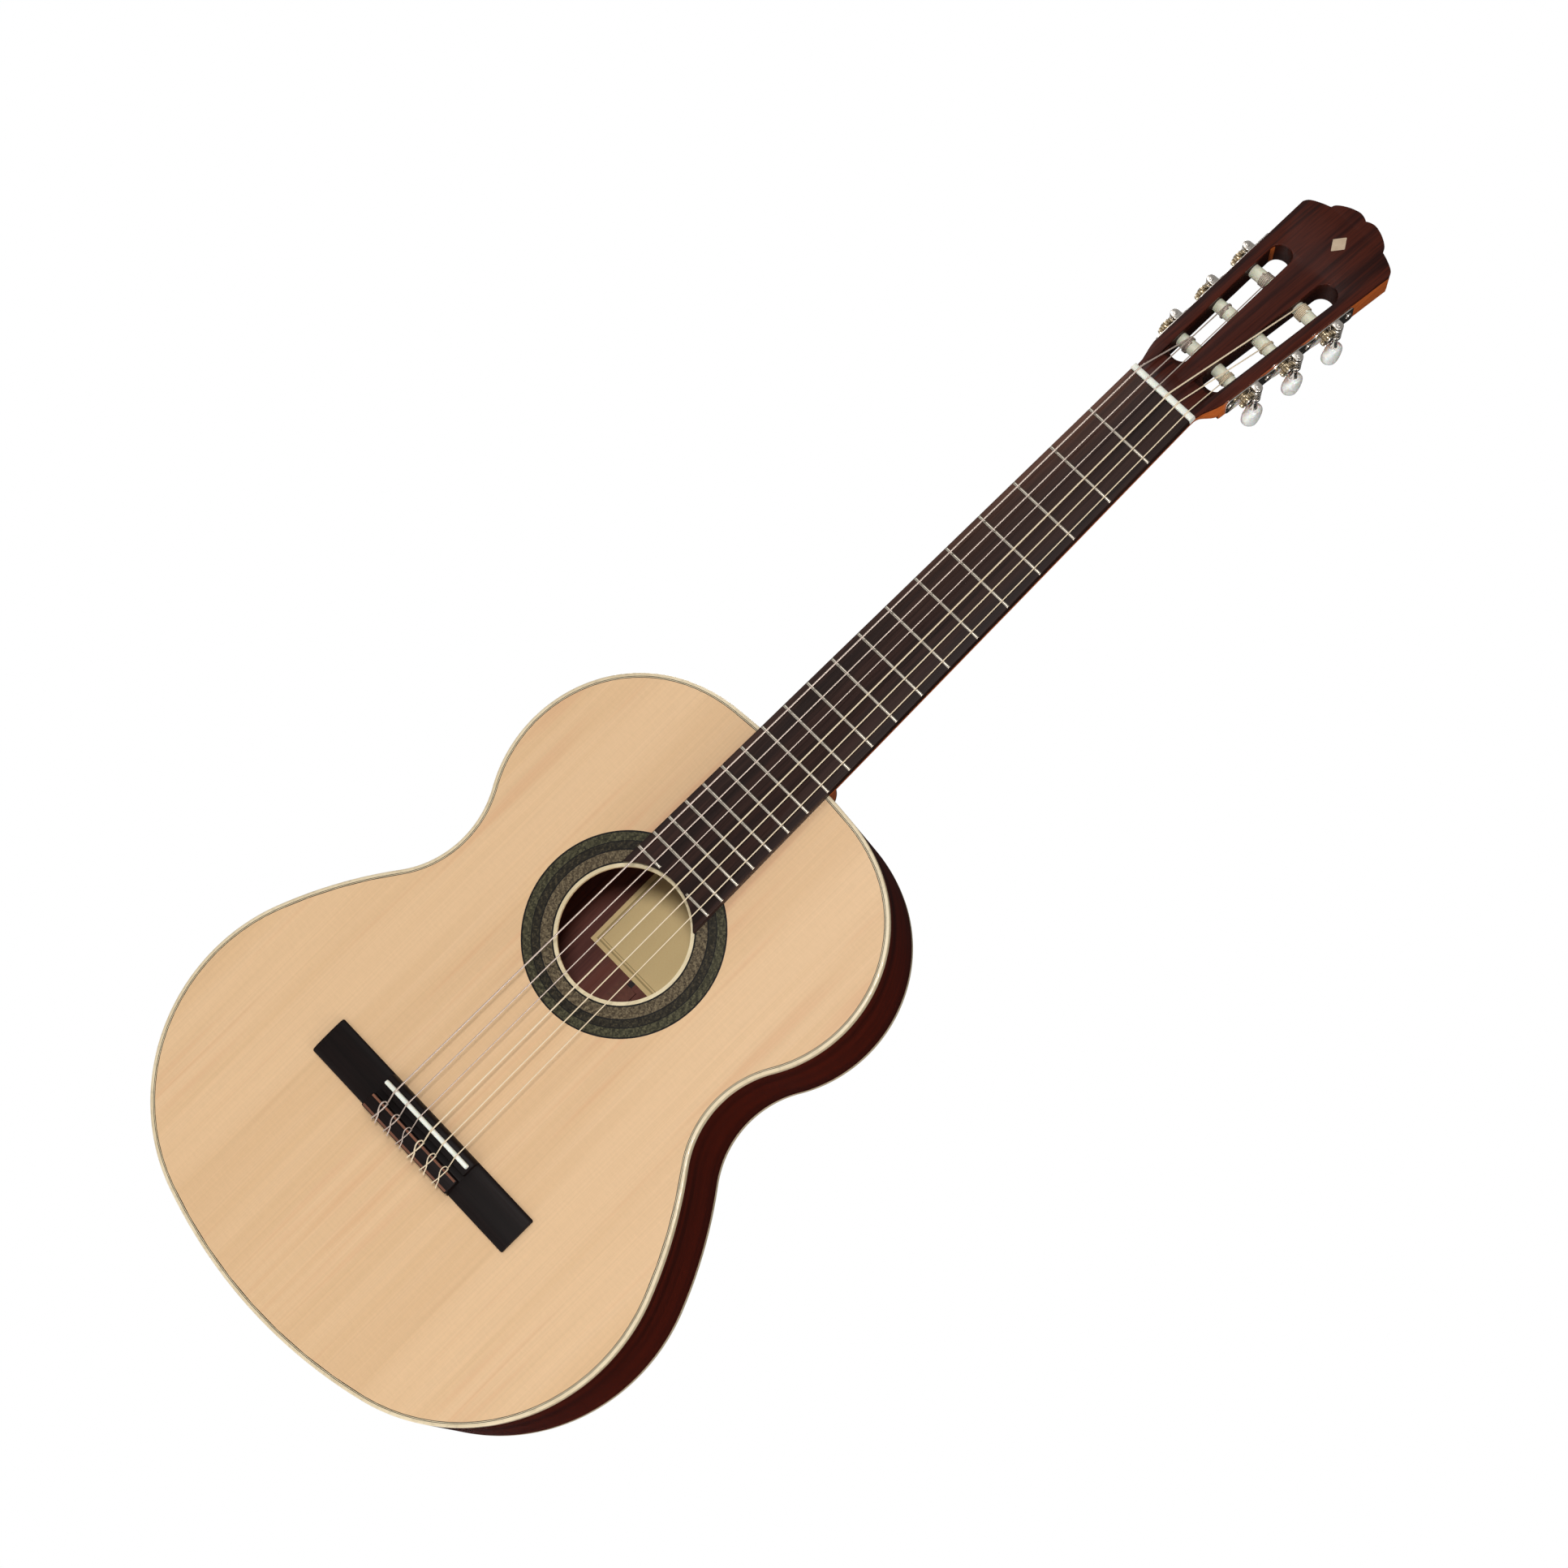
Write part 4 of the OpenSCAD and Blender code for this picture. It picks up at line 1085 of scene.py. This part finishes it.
thread = loft([[(y, worm_radius(y, a) * cos(a), worm_radius(y, a) * sin(a))
                for a in around(40)] for y in spread(-WORM_HALF, WORM_HALF, 110)])
worm_shape = along_y(merged(
    thread, rod(-7.7, 8, 1.5, 0.3), rod(7.5, 8.7, 2.7, 0.35),
    lathe([(8.5, 2.2), (9.2, 1.75), (12, 1.6), (15.5, 1.75), (17, 2.1), (18.2, 2.6),
           (18.8, 2.9), (24.6, 2.0)])))
profile = curved([(0, 2.6, 0), (0.2, 3.5, 0), (1.5, 3.9, 0), (3.2, 5.6, 0), (5.4, 7.1, 0),
                  (8.6, 7.95, 0), (12, 7.85, 0), (15.2, 6.9, 0), (17.4, 5.0, 0),
                  (18.6, 2.7, 0), (19.0, 0.7, 0)], 4)


def button_ring(y, wide):
    """The oval button's outline at a distance along its stem, squarer across its thin way"""
    thin = min(wide, BUTTON_T / 2 - 1.1 * exp(-wide / 3))
    return [(thin * copysign(abs(cos(a)) ** 0.8, cos(a)), y + BUTTON_START,
             wide * copysign(abs(sin(a)) ** 0.92, sin(a)))
            for a in around(48)]


button_shape = loft([button_ring(p.x, p.y) for p in profile])
roller_shape = merged(rod(-28.3, -0.25, ROLLER_R, 0.4),
                      rod(-1, GEAR_MID + GEAR_HALF, 2.4, 0.2))
lug_loop = ([(PLATE_T - 0.1, WORM_OFFSET + LUG_R)]
            + [(GEAR_MID + LUG_R * sin(a), WORM_OFFSET + LUG_R * cos(a))
               for a in spread(0, pi, 24)]
            + [(PLATE_T - 0.1, WORM_OFFSET - LUG_R)])
lug_shape = merged(*[slab(lug_loop, y, y + 2.2, (0.35, 0.35)) for y in (5, -7.2)])

# A side plate with a shallow notch in each edge between the rollers
edge = [(PLATE_W / 2, PLATE_LOW)]
for k in range(2):
    mid = FIRST_ROLLER + (k + 0.62) * ROLLER_PITCH
    edge += [(PLATE_W / 2 - dip, mid + dz)
             for dip, dz in ((0, -7), (1.6, -3.5), (1.6, 3.5), (0, 7))]
edge.append((PLATE_W / 2, PLATE_TOP))
edge = [(ROLLER_DEPTH + d, z) for d, z in edge] + [(ROLLER_DEPTH - d, z) for d, z in edge[::-1]]
plate_shape = run_x(rounded(edge[-1:] + edge[:-1], 3.2, 6), 0, PLATE_T, 0.25)
for side, name in ((-1, "bass"), (1, "treble")):
    parts = [placed(tuner_frame(side), plate_shape)]
    parts += [placed(roller_frame(n), lug_shape) for n in range(1, 7) if side_of(n) == side]
    piece(f"tuner_rail_{name}", merged(*parts), "plate", "nickel_plate",
          node=f"tuner_plate_{name}")

screws = []
screw_shank = rod(-6.5, 0.6, 1.25, 0.4, 20)
for side in (-1, 1):
    for i, z in enumerate(SCREW_Z):
        at = tuner_frame(side) @ shift(0, ROLLER_DEPTH, z)
        spin = Matrix.Rotation(0.6 + 1.9 * i + side, 4, "X")
        screws.append(placed(at @ shift(PLATE_T, 0, 0) @ spin, screw_head))
        screws.append(placed(at, screw_shank))
piece("rail_screws", merged(*screws), "plate", "nickel_plate", node="plate_screws")

roller_bore = along_y(lathe([(-6, 0.9), (6, 0.9)], 16))
for n in range(1, 7):
    at = roller_frame(n)
    worm_at = at @ shift(GEAR_MID, 0, WORM_OFFSET)
    turning, driven = f"tuner_knob_{n}", f"string_roller_{n}"
    piece(f"worm_shaft_{n}", placed(worm_at, worm_shape), "plate", "nickel_plate",
          body=turning, node=f"worm_{n}")
    piece(f"pearl_button_{n}", placed(worm_at, button_shape), "pearl", "pearl_button",
          body=turning, node=f"button_{n}", sharp=60)
    piece(f"gear_wheel_{n}", placed(at, gear_shape), "gear", "gear_metal",
          body=driven, node=f"gear_{n}")
    screw_at = at @ shift(GEAR_MID + GEAR_HALF, 0, 0)
    piece(f"gear_screw_{n}", placed(screw_at @ Matrix.Rotation(0.8 * n, 4, "X"), gear_screw),
          "plate", "nickel_plate", body=driven)
    roller = to_object(f"roller_core_{n}", placed(at, roller_shape))
    cut(roller, placed(at @ shift(SLOT_MID, 0, 0), roller_bore))
    dress(roller, "ivory", "roller_ivory", body=driven, node=f"roller_{n}")

INLAY_Z, INLAY_W, INLAY_H = 157, 10.4, 15
lozenge = rounded([(0, INLAY_Z - INLAY_H / 2), (INLAY_W / 2, INLAY_Z),
                   (0, INLAY_Z + INLAY_H / 2), (-INLAY_W / 2, INLAY_Z)], 0.6)
inlay = slab(lozenge, -VENEER_T - 0.02, -VENEER_T + 0.5, (0.02, 0), steps=1)
piece("head_inlay", placed(HEAD, inlay), "inlay", "pearl_button")

# ---- Floor, light and camera ----

FLOOR_R, FLOOR_Z = 1.7, -1.6
WHITE = (1, 1, 1, 1)
SOFT_LIGHT, DARK_SIDE = 0.32, (0.04, 0.04, 0.04, 1)
floor = to_object("floor", ([(FLOOR_R * cos(a), FLOOR_R * sin(a), FLOOR_Z)
                             for a in around(96)], [tuple(range(96))]), 1)
floor.data.materials.append(speckled("pale_floor", (246, 246, 246), (252, 252, 252), 3,
                                     (0.6, 0.7), Specular_IOR_Level=0.1,
                                     Emission_Color=WHITE, Emission_Strength=0.4))

scene = bpy.context.scene
scene.view_settings.view_transform = "Standard"
scene.view_settings.look = "None"

# A white room to the eye; its soft light fades towards the back of the guitar
world = bpy.data.worlds.new("studio")
scene.world = world
world.use_nodes = True
nodes, link = world.node_tree.nodes, world.node_tree.links.new
seen = nodes["Background"]
seen.inputs["Color"].default_value = WHITE
soft = nodes.new("ShaderNodeBackground")
soft.inputs["Strength"].default_value = SOFT_LIGHT
way = nodes.new("ShaderNodeSeparateXYZ")
link(nodes.new("ShaderNodeTexCoord").outputs["Generated"], way.inputs[0])
share = nodes.new("ShaderNodeMapRange")
share.inputs["From Min"].default_value = -1
link(way.outputs["Y"], share.inputs["Value"])
shade = nodes.new("ShaderNodeValToRGB")
for stop, at, colour in zip(shade.color_ramp.elements, (0.45, 0.75), (WHITE, DARK_SIDE)):
    stop.position, stop.color = at, colour
link(share.outputs[0], shade.inputs[0])
link(shade.outputs[0], soft.inputs["Color"])
choose = nodes.new("ShaderNodeMixShader")
link(nodes.new("ShaderNodeLightPath").outputs["Is Camera Ray"], choose.inputs[0])
link(soft.outputs[0], choose.inputs[1])
link(seen.outputs[0], choose.inputs[2])
link(choose.outputs[0], nodes["World Output"].inputs["Surface"])


def lamp(name, place, target, size, power):
    data = bpy.data.lights.new(name, "AREA")
    data.shape, data.size, data.energy = "DISK", size, power
    obj = bpy.data.objects.new(name, data)
    obj.location = place
    obj.rotation_mode = "QUATERNION"
    obj.rotation_quaternion = (Vector(target) - Vector(place)).to_track_quat("-Z", "Y")
    scene.collection.objects.link(obj)


lamp("key", (-1.6, -2.6, 1.2), (0, 0, -0.35), 1.6, 19)
lamp("front", (0.35, -3.0, -0.1), (0, 0, -0.45), 0.5, 41)
lamp("fill", (2.7, -0.6, -0.4), (0, 0, -0.35), 1.4, 36)
lamp("back", (-1.7, 2.3, 0.9), (0, 0, -0.35), 1.6, 45)

CAMERA_AT = (0.6901, -2.3019, -0.3878)
LENS, SENSOR = 87.5776, 36
yaw, pitch, roll = (radians(a) for a in (16.58, 1.12, 45.05))
ahead = Vector((-sin(yaw) * cos(pitch), cos(yaw) * cos(pitch), sin(pitch)))
right = ahead.cross(Vector((0, 0, 1))).normalized()
up = right.cross(ahead)
right, up = right * cos(roll) + up * sin(roll), up * cos(roll) - right * sin(roll)
camera = bpy.data.objects.new("camera", bpy.data.cameras.new("camera"))
camera.matrix_world = (Matrix.Translation(CAMERA_AT)
                       @ Matrix((right, up, -ahead)).transposed().to_4x4())
camera.data.lens, camera.data.sensor_width = LENS, SENSOR
scene.collection.objects.link(camera)
scene.camera = camera
